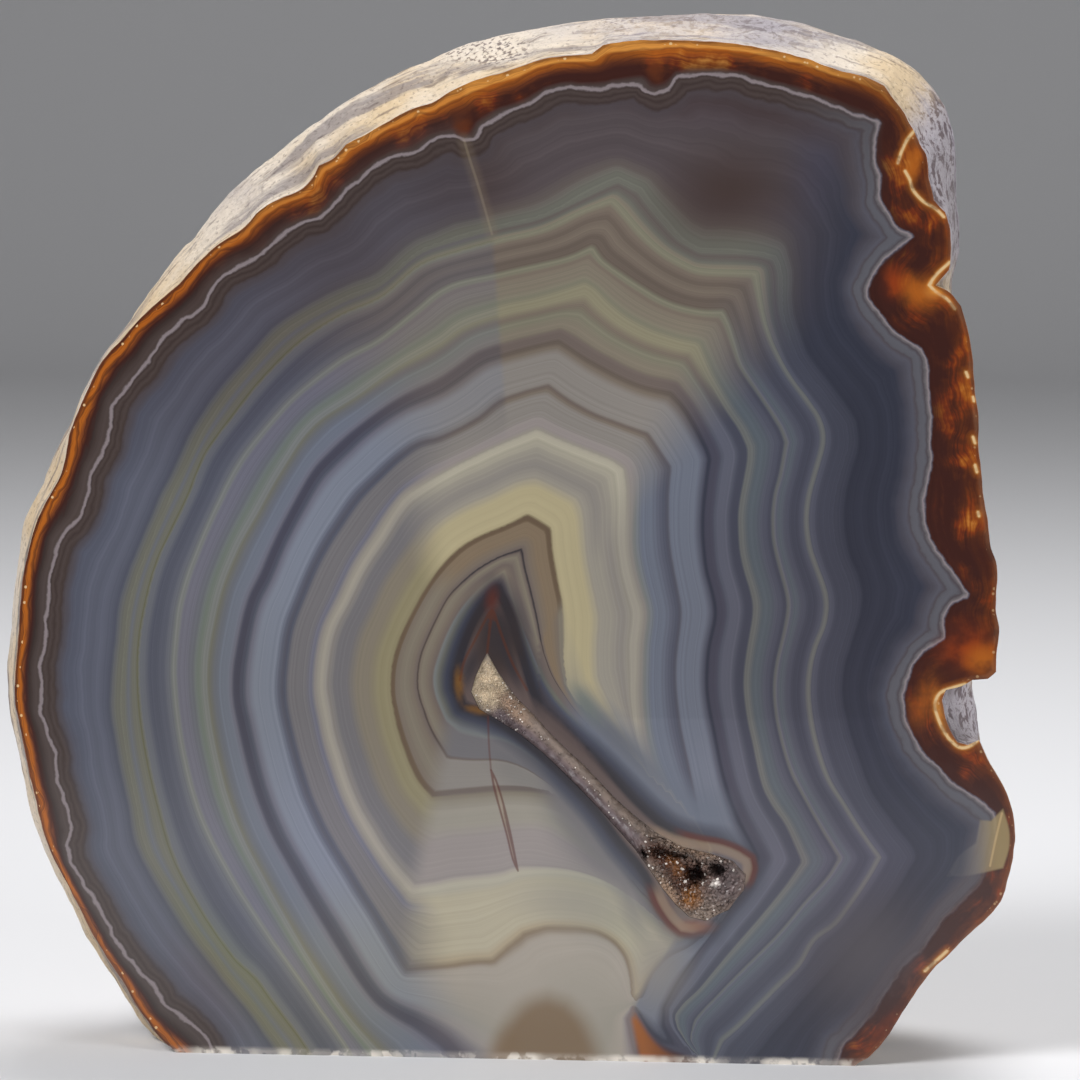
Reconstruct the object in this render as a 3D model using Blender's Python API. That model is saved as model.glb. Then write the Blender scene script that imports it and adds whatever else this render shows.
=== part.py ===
# Agate geode half: a nodule sawn open, polished on the cut and sawn flat
# below, so that it stands on its base with the banded face upright.
#
# Frame: metres, +Z up. The polished face looks along -Y, the sawn base lies
# in z = 0, and the origin is under the middle of the stone.
#
# Two pieces: agate_stone is the whole nodule with its small hollow, and
# crystal_crust is the druse of quartz points that lines that hollow.

import math
import random

import bmesh
import bpy
from mathutils import Vector, noise

MM = 0.001

# Driving dimensions of the stone: its depth behind the polished face, the
# centre that its outline is measured from, and the size of its facets
STONE_DEPTH = 60 * MM
CENTRE_HEIGHT = 72 * MM
CENTRE_SIDE = -4 * MM
FACET = 3.9 * MM

# Middle of the whole stone in the view's own frame, which is put over the origin
MIDDLE_ASIDE = -5.96 * MM
MIDDLE_BACK = 30.33 * MM

# Base cut: how near the cut a corner is drawn onto it, and which corners join
BASE_SNAP = 0.9 * MM
BASE_MERGE = 0.25 * MM
SHARP_EDGE = math.radians(50)

# How full the nodule stays towards its back: higher is boxier
DEPTH_POWER = 2.3
SIDE_POWER = 0.5

# Skin relief: size and height of the lumps, knobs and pits
LUMP_SIZE = 21 * MM
LUMP_HEIGHT = 2.4 * MM
KNOB_SIZE = 8 * MM
KNOB_HEIGHT = 1.1 * MM
PIT_SIZE = 13 * MM
PIT_REACH = 0.34
PIT_DEPTH = 2.6 * MM
SKIN_START = 6 * MM
SKIN_FULL = 32 * MM

# The body is widest this far behind the face. Up to there the outline of the
# face, evened out over a short reach, goes over into the outline of the body.
BODY_START = 13 * MM
EVEN_REACH = 15 * MM

# The photograph's view of the face: a picture point is read in pixels of
# its 1080 x 1080 frame, and its ray meets the face in the plane y = 0.
VIEW_ASIDE = math.radians(6.5)
VIEW_RAISED = math.radians(5.0)
VIEW_DISTANCE = 850 * MM
VIEW_TARGET_HEIGHT = 75.1 * MM
PIXELS_PER_METRE = 7000.0
PICTURE_MIDDLE = 540.0

# Outline of the polished face in picture points, from the left end of the
# base up over the top and down the broken right side to the base again.
FACE_EDGE = [
    (176, 1052), (163, 1041), (151, 1026), (136, 1004), (122, 980), (107, 958), (90, 929),
    (76, 901), (65, 880), (52, 855), (43, 830), (36, 801), (29, 772), (22, 736), (15, 700),
    (16, 664), (18, 642), (20, 610), (23, 578), (29, 549), (36, 524), (47, 500), (59, 479),
    (65, 461), (70, 432), (83, 400), (92, 380), (103, 360), (121, 340), (139, 320),
    (158, 302), (180, 283), (191, 270), (205, 256), (223, 241), (245, 227), (259, 211),
    (281, 198), (299, 191), (311, 180), (319, 166), (335, 157), (346, 144), (367, 134),
    (389, 121), (410, 110), (432, 103), (446, 94), (464, 85), (486, 77), (511, 70),
    (540, 60), (563, 56), (592, 54), (603, 45), (628, 41), (664, 40), (700, 41),
    (736, 44), (772, 50), (808, 59), (837, 70), (866, 77), (884, 86), (894, 99),
    (902, 110), (911, 126), (920, 144), (927, 158), (929, 180), (934, 200), (945, 212),
    (950, 230), (951, 252), (949, 270), (936, 285), (950, 293), (961, 306), (968, 331),
    (973, 360), (974, 382), (979, 425), (978, 443), (981, 468), (983, 493), (988, 522),
    (991, 548), (997, 566), (996, 609), (999, 627), (997, 652), (996, 672), (988, 679),
    (972, 680), (962, 686), (946, 690), (942, 700), (945, 715), (950, 730), (957, 742),
    (968, 745), (979, 740), (988, 760), (999, 778), (1008, 796), (1013, 814), (1015, 832),
    (1013, 858), (1008, 879), (1001, 901), (988, 917), (970, 933), (952, 951), (930, 973),
    (912, 998), (898, 1020), (884, 1041), (869, 1057), (855, 1065),
]

# The rounded underside that the saw took away, which the base cut removes
SAWN_OFF = [
    (835, 1085), (795, 1110), (730, 1140), (650, 1165), (560, 1180), (470, 1175),
    (380, 1158), (300, 1130), (240, 1098), (200, 1070),
]

# Outline of the rough body at its widest, BODY_START behind the face, in the
# same order. On the right, behind the broken edge, the body is narrower.
BODY_EDGE = [
    (176, 1052), (148, 1028), (119, 981), (86, 930), (61, 880), (38, 830), (23, 765),
    (11, 704), (9, 668), (13, 628), (18, 574), (25, 520), (45, 482), (74, 419), (94, 371),
    (133, 319), (162, 277), (202, 229), (230, 194), (274, 158), (320, 119), (349, 99),
    (382, 81), (432, 59), (482, 41), (540, 29), (570, 22), (640, 16), (700, 14), (760, 18),
    (820, 30), (860, 42), (898, 59), (916, 72), (934, 90), (945, 108), (952, 140),
    (954, 194), (957, 225), (956, 252), (949, 282), (950, 320), (958, 370), (963, 430),
    (966, 480), (970, 530), (974, 580), (974, 640), (970, 690), (976, 730), (981, 765),
    (992, 800), (1000, 840), (995, 875), (978, 905), (950, 935), (915, 970), (885, 1005),
    (862, 1040), (845, 1065), (810, 1100), (740, 1145), (650, 1175), (560, 1190),
    (470, 1185), (380, 1168), (290, 1135), (225, 1098), (190, 1070),
]

# Mouth of the hollow in picture points: pairs of points on its lower left
# and upper right edge from the narrow tip to the wide end, with its depth.
HOLLOW_PAIRS = [
    ((481, 664), (492, 661), 1.6), ((475, 677), (498, 672), 2.6),
    ((471, 692), (507, 685), 3.4), ((479, 709), (519, 700), 3.8),
    ((499, 721), (535, 716), 3.8), ((521, 735), (549, 732), 3.6),
    ((543, 753), (566, 749), 3.6), ((563, 772), (583, 764), 3.8),
    ((583, 792), (599, 781), 4.0), ((602, 812), (616, 799), 4.4),
    ((619, 831), (635, 816), 5.2), ((635, 849), (657, 833), 6.6),
    ((649, 869), (683, 847), 8.4), ((662, 888), (709, 853), 9.6),
    ((675, 904), (733, 861), 10.0), ((689, 917), (746, 875), 9.4),
    ((706, 921), (744, 890), 7.0), ((719, 914), (735, 901), 4.0),
]
HOLLOW_TIP = (487, 652)
HOLLOW_END = (729, 910)
HOLLOW_ACROSS = 9
HOLLOW_ROUNDING = 0.6
STATION_STEPS = 2

# Crystal crust: its gap to the stone, its thickness, how far it may fill a
# narrow stretch, and the height, steepness and slant of its quartz points
CRUST_GAP = 0.3 * MM
CRUST_THICKNESS = 0.9 * MM
CRUST_SHARE = 0.6
CRYSTAL_LOW = 0.5 * MM
CRYSTAL_HIGH = 1.5 * MM
CRYSTAL_STEEP = 0.9
CRYSTAL_SLANT = 0.2
CRYSTAL_ROOM = 0.2
CRYSTAL_SEED = 11

AGATE_COLOUR = (0.135, 0.125, 0.135, 1.0)
AGATE_ROUGHNESS = 0.3
CRYSTAL_COLOUR = (0.36, 0.29, 0.23, 1.0)
CRYSTAL_ROUGHNESS = 0.22


def clear_scene():
    """Take away whatever the file opened with."""
    for thing in list(bpy.data.objects):
        bpy.data.objects.remove(thing, do_unlink=True)


def on_plane(picture_point, depth):
    """Place (x, z) that a picture point shows, in the plane this far behind the face."""
    aside, raised = VIEW_ASIDE, VIEW_RAISED
    back = Vector((math.sin(aside) * math.cos(raised), -math.cos(aside) * math.cos(raised),
                   math.sin(raised)))
    right = Vector((math.cos(aside), math.sin(aside), 0.0))
    up = back.cross(right)
    eye = Vector((0.0, 0.0, VIEW_TARGET_HEIGHT)) + back * VIEW_DISTANCE
    focal = PIXELS_PER_METRE * VIEW_DISTANCE
    across = (picture_point[0] - PICTURE_MIDDLE) / focal
    upward = (PICTURE_MIDDLE - picture_point[1]) / focal
    ray = right * across + up * upward - back
    hit = eye + ray * ((depth - eye.y) / ray.y)
    return Vector((hit.x, hit.z))


def on_face(picture_point):
    """Place (x, z) on the polished face that a picture point shows."""
    return on_plane(picture_point, 0.0)


def smooth_step(value):
    """Ease from 0 to 1."""
    value = min(1.0, max(0.0, value))
    return value * value * (3.0 - 2.0 * value)


class Loop:
    """A closed outline in the face that can be read at any share of its length."""

    def __init__(self, points):
        self.points = points
        self.marks = [0.0]
        for here, there in zip(points, points[1:] + points[:1]):
            self.marks.append(self.marks[-1] + (there - here).length)
        self.length = self.marks[-1]

    def at(self, share):
        """Point at a share of the way round."""
        travel = (share % 1.0) * self.length
        low, high = 0, len(self.points)
        while high - low > 1:
            middle = (low + high) // 2
            if self.marks[middle] <= travel:
                low = middle
            else:
                high = middle
        run = self.marks[low + 1] - self.marks[low]
        there = self.points[(low + 1) % len(self.points)]
        return self.points[low].lerp(there, (travel - self.marks[low]) / run)

    def evened(self, share):
        """The same point with the notches near it evened out."""
        total = Vector((0.0, 0.0))
        steps = 7
        for step in range(-steps, steps + 1):
            total += self.at(share + step / steps * EVEN_REACH / self.length)
        return total / (2 * steps + 1)


class Body:
    """The widest outline of the rough body, read by its direction from the centre."""

    def __init__(self, points):
        self.centre = Vector((CENTRE_SIDE, CENTRE_HEIGHT))
        spokes = [point - self.centre for point in points]
        self.spokes = sorted((math.atan2(spoke.y, spoke.x), spoke.length) for spoke in spokes)

    def towards(self, direction):
        """Point of the outline in a direction from the centre."""
        angle = math.atan2(direction.y, direction.x)
        ahead = next((n for n, spoke in enumerate(self.spokes) if spoke[0] > angle), 0)
        angle_a, reach_a = self.spokes[ahead - 1]
        angle_b, reach_b = self.spokes[ahead]
        part = ((angle - angle_a) % math.tau) / ((angle_b - angle_a) % math.tau)
        return self.centre + direction * (reach_a + (reach_b - reach_a) * part)


def skin_relief(place):
    """Height of the rough skin at a place: lumps and knobs less the pits."""
    lumps = noise.noise(place / LUMP_SIZE) * LUMP_HEIGHT
    knobs = noise.noise(place / KNOB_SIZE + Vector((7.0, 3.0, 1.0))) * KNOB_HEIGHT
    nearest = noise.voronoi(place / PIT_SIZE)[0][0]
    pits = smooth_step((PIT_REACH - nearest) / PIT_REACH) * PIT_DEPTH
    return lumps + knobs - pits


def narrowing(depth):
    """Share of its widest outline that the body keeps at a depth."""
    beyond = max(0.0, depth - BODY_START) / (STONE_DEPTH - BODY_START)
    return max(0.0, 1.0 - beyond ** DEPTH_POWER) ** SIDE_POWER


def skin_point(outline, body, share, depth):
    """Place on the rough skin at a share of the way round and a depth."""
    outward = (outline.evened(share) - body.centre).normalized()
    widest = body.towards(outward)
    flat = outline.at(share).lerp(widest, smooth_step(depth / BODY_START))
    flat = body.centre + (flat - body.centre) * narrowing(depth)
    place = Vector((flat.x, depth, flat.y))
    lean = smooth_step(1.0 - narrowing(depth) ** 2)
    normal = Vector((outward.x * (1.0 - lean), lean, outward.y * (1.0 - lean))).normalized()
    return place + normal * skin_relief(place) * smooth_step((depth - SKIN_START) / SKIN_FULL)


def ring_depths():
    """Depths of the rings of the skin, about one facet apart along it."""
    radius = CENTRE_HEIGHT
    steps = 900
    depths = []
    travelled = 0.0
    last = (radius, 0.0)
    for step in range(1, steps):
        depth = STONE_DEPTH * math.sin(step / steps * math.pi / 2.0)
        here = (radius * narrowing(depth), depth)
        travelled += math.dist(here, last)
        last = here
        if travelled >= FACET and here[0] > FACET:
            depths.append(depth)
            travelled = 0.0
    return depths


def skin_ring(bm, outline, body, depth, offset):
    """One ring of the skin: pairs of the share of the way round and the vert there."""
    count = max(6, round(outline.length * narrowing(depth) / FACET))
    shares = [(number + offset) / count for number in range(count)]
    return [(share, bm.verts.new(skin_point(outline, body, share, depth))) for share in shares]


def stitch(bm, first, second):
    """Join two rings of verts that may hold different counts with triangles."""
    one, two = 0, 0
    while one < len(first) or two < len(second):
        vert_one = first[one % len(first)][1]
        vert_two = second[two % len(second)][1]
        next_one = first[(one + 1) % len(first)][0] + (one + 1) // len(first)
        next_two = second[(two + 1) % len(second)][0] + (two + 1) // len(second)
        if two >= len(second) or (one < len(first) and next_one <= next_two):
            bm.faces.new((vert_one, first[(one + 1) % len(first)][1], vert_two))
            one += 1
        else:
            bm.faces.new((vert_one, second[(two + 1) % len(second)][1], vert_two))
            two += 1


def hollow_stations():
    """Stations along the hollow: its middle, half its width, and its depth."""
    stations = []
    for here, there in zip(HOLLOW_PAIRS, HOLLOW_PAIRS[1:]):
        for step in range(STATION_STEPS):
            part = step / STATION_STEPS
            left = on_face(here[0]).lerp(on_face(there[0]), part)
            right = on_face(here[1]).lerp(on_face(there[1]), part)
            depth = (here[2] + (there[2] - here[2]) * part) * MM
            stations.append((left.lerp(right, 0.5), (right - left) * 0.5, depth))
    left, right, depth_mm = HOLLOW_PAIRS[-1]
    left, right = on_face(left), on_face(right)
    stations.append((left.lerp(right, 0.5), (right - left) * 0.5, depth_mm * MM))
    return stations


def hollow_rows(inset, sunk, raised):
    """Rows of points across the hollow: drawn in from its sides by inset,
    sunk below the face at the mouth, and raised off its floor."""
    rows = []
    for middle, half, full_depth in hollow_stations():
        reach = half.length
        half = half * ((reach - min(inset, reach * CRUST_SHARE)) / reach)
        depth = max(full_depth - sunk - raised, full_depth * (1.0 - CRUST_SHARE) - sunk)
        row = []
        for number in range(HOLLOW_ACROSS + 1):
            turn = math.pi * number / HOLLOW_ACROSS
            flat = middle - half * math.cos(turn)
            rise = math.sin(turn) ** HOLLOW_ROUNDING if 0 < number < HOLLOW_ACROSS else 0.0
            row.append(Vector((flat.x, sunk + depth * rise, flat.y)))
        rows.append(row)
    return rows


def hollow_ends(inset, sunk):
    """Points that close the rows at the narrow tip and at the wide end."""
    tip, end = on_face(HOLLOW_TIP), on_face(HOLLOW_END)
    first = hollow_stations()[0][0]
    last = hollow_stations()[-1][0]
    tip += (first - tip).normalized() * inset
    end += (last - end).normalized() * inset
    return Vector((tip.x, sunk, tip.y)), Vector((end.x, sunk, end.y))


def drape(bm, rows, tip, end):
    """Skin over rows of verts, with a fan to a point at both ends."""
    quads = []
    for row_a, row_b in zip(rows, rows[1:]):
        for number in range(len(row_a) - 1):
            corner = (row_a[number], row_a[number + 1], row_b[number + 1], row_b[number])
            quads.append(bm.faces.new(corner))
    for number in range(len(rows[0]) - 1):
        bm.faces.new((tip, rows[0][number + 1], rows[0][number]))
        bm.faces.new((end, rows[-1][number], rows[-1][number + 1]))
    return quads


def mouth_loop(rows, tip, end):
    """Verts round the mouth of a draped hollow, in order."""
    return [tip] + [row[-1] for row in rows] + [end] + [row[0] for row in reversed(rows)]


def add_hollow(bm, inset, sunk, raised):
    """One surface of the hollow: its quads and the loop round its mouth."""
    rows = [[bm.verts.new(point) for point in row] for row in hollow_rows(inset, sunk, raised)]
    tip, end = [bm.verts.new(point) for point in hollow_ends(inset, sunk)]
    quads = drape(bm, rows, tip, end)
    return quads, mouth_loop(rows, tip, end)


def link_loop(bm, verts):
    """Edges that close a list of verts into a loop."""
    edges = []
    for here, there in zip(verts, verts[1:] + verts[:1]):
        edge = bm.edges.get((here, there))
        edges.append(edge or bm.edges.new((here, there)))
    return edges


def on_front(point):
    """A face place as a point in the plane of the polished face."""
    return Vector((point.x, 0.0, point.y))


def cut_base(bm):
    """Saw the nodule flat at z = 0 and close the cut."""
    for vert in bm.verts:
        if abs(vert.co.z) < BASE_SNAP and vert.co.y > 0.0:
            vert.co.z = 0.0
    cut = bmesh.ops.bisect_plane(bm, geom=bm.verts[:] + bm.edges[:] + bm.faces[:], dist=1e-6,
                                 plane_co=(0, 0, 0), plane_no=(0, 0, -1), clear_outer=True)
    on_cut = [item for item in cut["geom_cut"] if isinstance(item, bmesh.types.BMVert)]
    bmesh.ops.remove_doubles(bm, verts=on_cut, dist=BASE_MERGE)
    rim = [edge for edge in bm.edges if edge.is_boundary]
    bmesh.ops.triangle_fill(bm, use_beauty=True, edges=rim, normal=(0, 0, -1))


def finish_mesh(bm, name, material):
    """Turn the build mesh into a named object whose faces all point out."""
    bmesh.ops.triangulate(bm, faces=[face for face in bm.faces if len(face.verts) > 3])
    bmesh.ops.recalc_face_normals(bm, faces=bm.faces[:])
    mesh = bpy.data.meshes.new(name)
    bm.to_mesh(mesh)
    bm.free()
    mesh.shade_smooth()
    mesh.set_sharp_from_angle(angle=SHARP_EDGE)
    mesh.materials.append(material)
    thing = bpy.data.objects.new(name, mesh)
    bpy.context.scene.collection.objects.link(thing)
    return thing


def plain_material(name, colour, roughness):
    """Principled finish with one colour and roughness."""
    material = bpy.data.materials.new(name)
    material.use_nodes = True
    shader = material.node_tree.nodes["Principled BSDF"]
    shader.inputs["Base Color"].default_value = colour
    shader.inputs["Roughness"].default_value = roughness
    shader.inputs["Metallic"].default_value = 0.0
    return material


def make_stone():
    """The nodule: rough skin behind, polished face with its hollow, sawn base."""
    outline = Loop([on_face(point) for point in FACE_EDGE + SAWN_OFF])
    body = Body([on_plane(point, BODY_START) for point in BODY_EDGE])
    bm = bmesh.new()
    edge_verts = [bm.verts.new(on_front(point)) for point in outline.points]
    last = [(mark / outline.length, vert) for mark, vert in zip(outline.marks, edge_verts)]
    for number, depth in enumerate(ring_depths()):
        ring = skin_ring(bm, outline, body, depth, 0.5 * (number % 2))
        stitch(bm, last, ring)
        last = ring
    bm.faces.new([vert for share, vert in last])

    quads, mouth = add_hollow(bm, 0.0, 0.0, 0.0)
    rim = link_loop(bm, edge_verts) + link_loop(bm, mouth)
    bmesh.ops.triangle_fill(bm, use_beauty=True, edges=rim, normal=(0, -1, 0))
    cut_base(bm)
    return finish_mesh(bm, "agate_stone", plain_material("Agate", AGATE_COLOUR, AGATE_ROUGHNESS))


def grow_crystals(bm, quads):
    """Raise a flat-sided quartz point on each quad of the crust."""
    draw = random.Random(CRYSTAL_SEED)
    stations = hollow_stations()
    for number, quad in enumerate(quads):
        room = stations[number // HOLLOW_ACROSS][1].length * CRYSTAL_ROOM
        width = math.sqrt(quad.calc_area())
        height = min(draw.uniform(CRYSTAL_LOW, CRYSTAL_HIGH), width * CRYSTAL_STEEP, room)
        slant = CRYSTAL_SLANT * width
        lean = Vector((draw.uniform(-slant, slant), 0.0, draw.uniform(-slant, slant)))
        tip = quad.calc_center_median() + quad.normal * height + lean
        tip.y = max(tip.y, CRUST_GAP)
        peak = bm.verts.new(tip)
        corners = quad.verts[:]
        bm.faces.remove(quad)
        for here, there in zip(corners, corners[1:] + corners[:1]):
            bm.faces.new((here, there, peak))


def make_crust():
    """The druse that lines the hollow: a thin crust with quartz points."""
    bm = bmesh.new()
    under, under_mouth = add_hollow(bm, CRUST_GAP, CRUST_GAP, CRUST_GAP)
    over, over_mouth = add_hollow(bm, CRUST_GAP + CRUST_THICKNESS, CRUST_GAP,
                                  CRUST_GAP + CRUST_THICKNESS)
    for number, vert in enumerate(under_mouth):
        following = (number + 1) % len(under_mouth)
        bm.faces.new((vert, under_mouth[following], over_mouth[following], over_mouth[number]))
    bmesh.ops.recalc_face_normals(bm, faces=bm.faces[:])
    grow_crystals(bm, over)
    return finish_mesh(bm, "crystal_crust",
                       plain_material("Quartz", CRYSTAL_COLOUR, CRYSTAL_ROUGHNESS))


def main():
    """Build both pieces and stand the stone over the origin."""
    clear_scene()
    for piece in (make_stone(), make_crust()):
        piece.location = (-MIDDLE_ASIDE, -MIDDLE_BACK, 0.0)


main()
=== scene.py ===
import math
import random

import bmesh
import bpy
import numpy as np
from bpy.props import FloatProperty, FloatVectorProperty, IntProperty, PointerProperty
from bpy.types import Operator, Panel, PropertyGroup
from mathutils import Matrix, Vector, geometry, noise


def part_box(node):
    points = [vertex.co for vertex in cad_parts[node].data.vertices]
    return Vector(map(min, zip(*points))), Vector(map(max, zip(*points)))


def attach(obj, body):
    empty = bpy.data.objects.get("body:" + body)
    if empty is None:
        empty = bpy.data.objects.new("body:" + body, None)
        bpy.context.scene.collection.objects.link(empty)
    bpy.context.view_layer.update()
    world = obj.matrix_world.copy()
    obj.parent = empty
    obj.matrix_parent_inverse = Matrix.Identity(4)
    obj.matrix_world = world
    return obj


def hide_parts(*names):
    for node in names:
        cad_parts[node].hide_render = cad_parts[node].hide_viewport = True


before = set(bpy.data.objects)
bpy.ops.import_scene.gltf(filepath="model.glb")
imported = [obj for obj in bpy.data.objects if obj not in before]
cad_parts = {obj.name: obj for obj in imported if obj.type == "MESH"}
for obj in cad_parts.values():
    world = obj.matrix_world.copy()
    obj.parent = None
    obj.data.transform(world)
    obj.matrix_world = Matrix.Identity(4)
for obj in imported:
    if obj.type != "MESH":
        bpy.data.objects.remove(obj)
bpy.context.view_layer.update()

bl_info = {
    "name": "Agate geode half",
    "version": (1, 0, 0),
    "blender": (4, 5, 0),
    "location": "3D View > Sidebar > Geode",
    "description": "A sawn and polished agate nodule with a crystal-lined hollow",
    "category": "Add Mesh",
}

MM = 0.001

# Where the stone stands: its polished face is the front of its box
STONE_LOW, STONE_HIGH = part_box("agate_stone")
FACE_PLANE = STONE_LOW.y
MIDDLE_ASIDE = 5.96 * MM

# Body of the stone behind its face, the same build as the solid's
STONE_DEPTH = 60 * MM
CENTRE_HEIGHT = 72 * MM
CENTRE_SIDE = -4 * MM
DEPTH_POWER = 2.3
SIDE_POWER = 0.5
LUMP_SIZE = 21 * MM
LUMP_HEIGHT = 2.4 * MM
KNOB_SIZE = 8 * MM
KNOB_HEIGHT = 1.1 * MM
PIT_SIZE = 13 * MM
PIT_REACH = 0.34
PIT_DEPTH = 2.6 * MM
SKIN_START = 6 * MM
SKIN_FULL = 32 * MM
BODY_START = 13 * MM
EVEN_REACH = 15 * MM

# Spacing of the fine mesh: on the skin, on the face and its rim, on the base
SKIN_STEP = 1.2 * MM
FACE_STEP = 0.6 * MM
BASE_STEP = 1.6 * MM
FACE_FOOT = -1.5 * MM

# The photograph's view: its 1080 x 1080 frame is read in pixels, and a
# picture point's ray meets the face in the view's own plane y = 0
VIEW_ASIDE = math.radians(6.5)
VIEW_RAISED = math.radians(5.0)
VIEW_DISTANCE = 850 * MM
VIEW_TARGET_HEIGHT = 75.1 * MM
PIXELS_PER_METRE = 7000.0
PICTURE_SIZE = 1080.0
PICTURE_MIDDLE = PICTURE_SIZE / 2
FOCAL_PIXELS = PIXELS_PER_METRE * VIEW_DISTANCE

# Outline of the polished face in picture points, from the left end of the
# base up over the top and down the broken right side to the base again
FACE_EDGE = [
    (176, 1052), (163, 1041), (151, 1026), (136, 1004), (122, 980), (107, 958), (90, 929),
    (76, 901), (65, 880), (52, 855), (43, 830), (36, 801), (29, 772), (22, 736), (15, 700),
    (16, 664), (18, 642), (20, 610), (23, 578), (29, 549), (36, 524), (47, 500), (59, 479),
    (65, 461), (70, 432), (83, 400), (92, 380), (103, 360), (121, 340), (139, 320),
    (158, 302), (180, 283), (191, 270), (205, 256), (223, 241), (245, 227), (259, 211),
    (281, 198), (299, 191), (311, 180), (319, 166), (335, 157), (346, 144), (367, 134),
    (389, 121), (410, 110), (432, 103), (446, 94), (464, 85), (486, 77), (511, 70),
    (540, 60), (563, 56), (592, 54), (603, 45), (628, 41), (664, 40), (700, 41),
    (736, 44), (772, 50), (808, 59), (837, 70), (866, 77), (884, 86), (894, 99),
    (902, 110), (911, 126), (920, 144), (927, 158), (929, 180), (934, 200), (945, 212),
    (950, 230), (951, 252), (949, 270), (936, 285), (950, 293), (961, 306), (968, 331),
    (973, 360), (974, 382), (979, 425), (978, 443), (981, 468), (983, 493), (988, 522),
    (991, 548), (997, 566), (996, 609), (999, 627), (997, 652), (996, 672), (988, 679),
    (972, 680), (962, 686), (946, 690), (942, 700), (945, 715), (950, 730), (957, 742),
    (968, 745), (979, 740), (988, 760), (999, 778), (1008, 796), (1013, 814), (1015, 832),
    (1013, 858), (1008, 879), (1001, 901), (988, 917), (970, 933), (952, 951), (930, 973),
    (912, 998), (898, 1020), (884, 1041), (869, 1057), (855, 1065),
]
SAWN_OFF = [
    (835, 1085), (795, 1110), (730, 1140), (650, 1165), (560, 1180), (470, 1175),
    (380, 1158), (300, 1130), (240, 1098), (200, 1070),
]
BODY_EDGE = [
    (176, 1052), (148, 1028), (119, 981), (86, 930), (61, 880), (38, 830), (23, 765),
    (11, 704), (9, 668), (13, 628), (18, 574), (25, 520), (45, 482), (74, 419), (94, 371),
    (133, 319), (162, 277), (202, 229), (230, 194), (274, 158), (320, 119), (349, 99),
    (382, 81), (432, 59), (482, 41), (540, 29), (570, 22), (640, 16), (700, 14), (760, 18),
    (820, 30), (860, 42), (898, 59), (916, 72), (934, 90), (945, 108), (952, 140),
    (954, 194), (957, 225), (956, 252), (949, 282), (950, 320), (958, 370), (963, 430),
    (966, 480), (970, 530), (974, 580), (974, 640), (970, 690), (976, 730), (981, 765),
    (992, 800), (1000, 840), (995, 875), (978, 905), (950, 935), (915, 970), (885, 1005),
    (862, 1040), (845, 1065), (810, 1100), (740, 1145), (650, 1175), (560, 1190),
    (470, 1185), (380, 1168), (290, 1135), (225, 1098), (190, 1070),
]

# Bands of the agate from the rind inwards, each traced up the left side, over
# the top and down the right. The first ones run out at the base.
WHITE_LINE = [
    (212, 1051), (205, 1038), (187, 1020), (166, 1006), (155, 988), (133, 963), (115, 938),
    (101, 912), (86, 887), (72, 862), (68, 844), (72, 830), (65, 804), (56, 772), (54, 750),
    (40, 711), (41, 689), (40, 664), (45, 639), (47, 610), (49, 581), (54, 563), (58, 542),
    (77, 520), (88, 493), (92, 472), (103, 454), (107, 443), (110, 425), (115, 403),
    (128, 385), (144, 367), (158, 346), (180, 324), (202, 306), (216, 284), (234, 268),
    (259, 257), (281, 236), (302, 223), (320, 218), (333, 205), (346, 191), (367, 173),
    (389, 158), (414, 153), (436, 139), (454, 135), (464, 142), (475, 139), (482, 126),
    (504, 113), (526, 106), (542, 95), (563, 88), (592, 89), (624, 85), (641, 83),
    (646, 90), (655, 94), (668, 90), (678, 77), (707, 74), (736, 76), (765, 85), (794, 92),
    (826, 103), (851, 112), (876, 121), (880, 124), (875, 137), (875, 158), (880, 180),
    (880, 202), (891, 220), (900, 230), (912, 236), (902, 245), (884, 259), (875, 274),
    (867, 288), (871, 302), (884, 320), (898, 335), (920, 349), (925, 360), (927, 382),
    (930, 407), (930, 468), (925, 493), (923, 515), (930, 540), (938, 552), (952, 573),
    (968, 595), (952, 602), (943, 616), (943, 638), (920, 656), (909, 674), (901, 696),
    (907, 721), (918, 746), (934, 764), (952, 782), (977, 800), (995, 814), (997, 829),
    (984, 872), (977, 886), (959, 904), (941, 922), (927, 944), (898, 973), (880, 1002),
    (858, 1030), (840, 1048), (837, 1061),
]
FAINT_LINE = [
    (288, 1052), (272, 1031), (252, 1005), (232, 980), (215, 955), (200, 935), (175, 895),
    (148, 850), (137, 800), (126, 740), (124, 682), (132, 600), (156, 532), (190, 460),
    (218, 410), (250, 370), (290, 330), (340, 302), (380, 284), (420, 252), (460, 238),
    (500, 227), (540, 217), (580, 199), (618, 180), (640, 190), (650, 204), (665, 222),
    (680, 238), (700, 250), (750, 252), (775, 257), (781, 272), (782, 310), (788, 335),
    (798, 360), (828, 400), (845, 425), (847, 445), (842, 465), (836, 485), (832, 510),
    (833, 535), (838, 560), (846, 580), (850, 600), (848, 620), (842, 640), (836, 660),
    (833, 690), (838, 722), (848, 760), (862, 795), (882, 828), (905, 858), (890, 885),
    (868, 915), (840, 945), (812, 975), (785, 1005), (760, 1030), (738, 1062),
]
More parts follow.
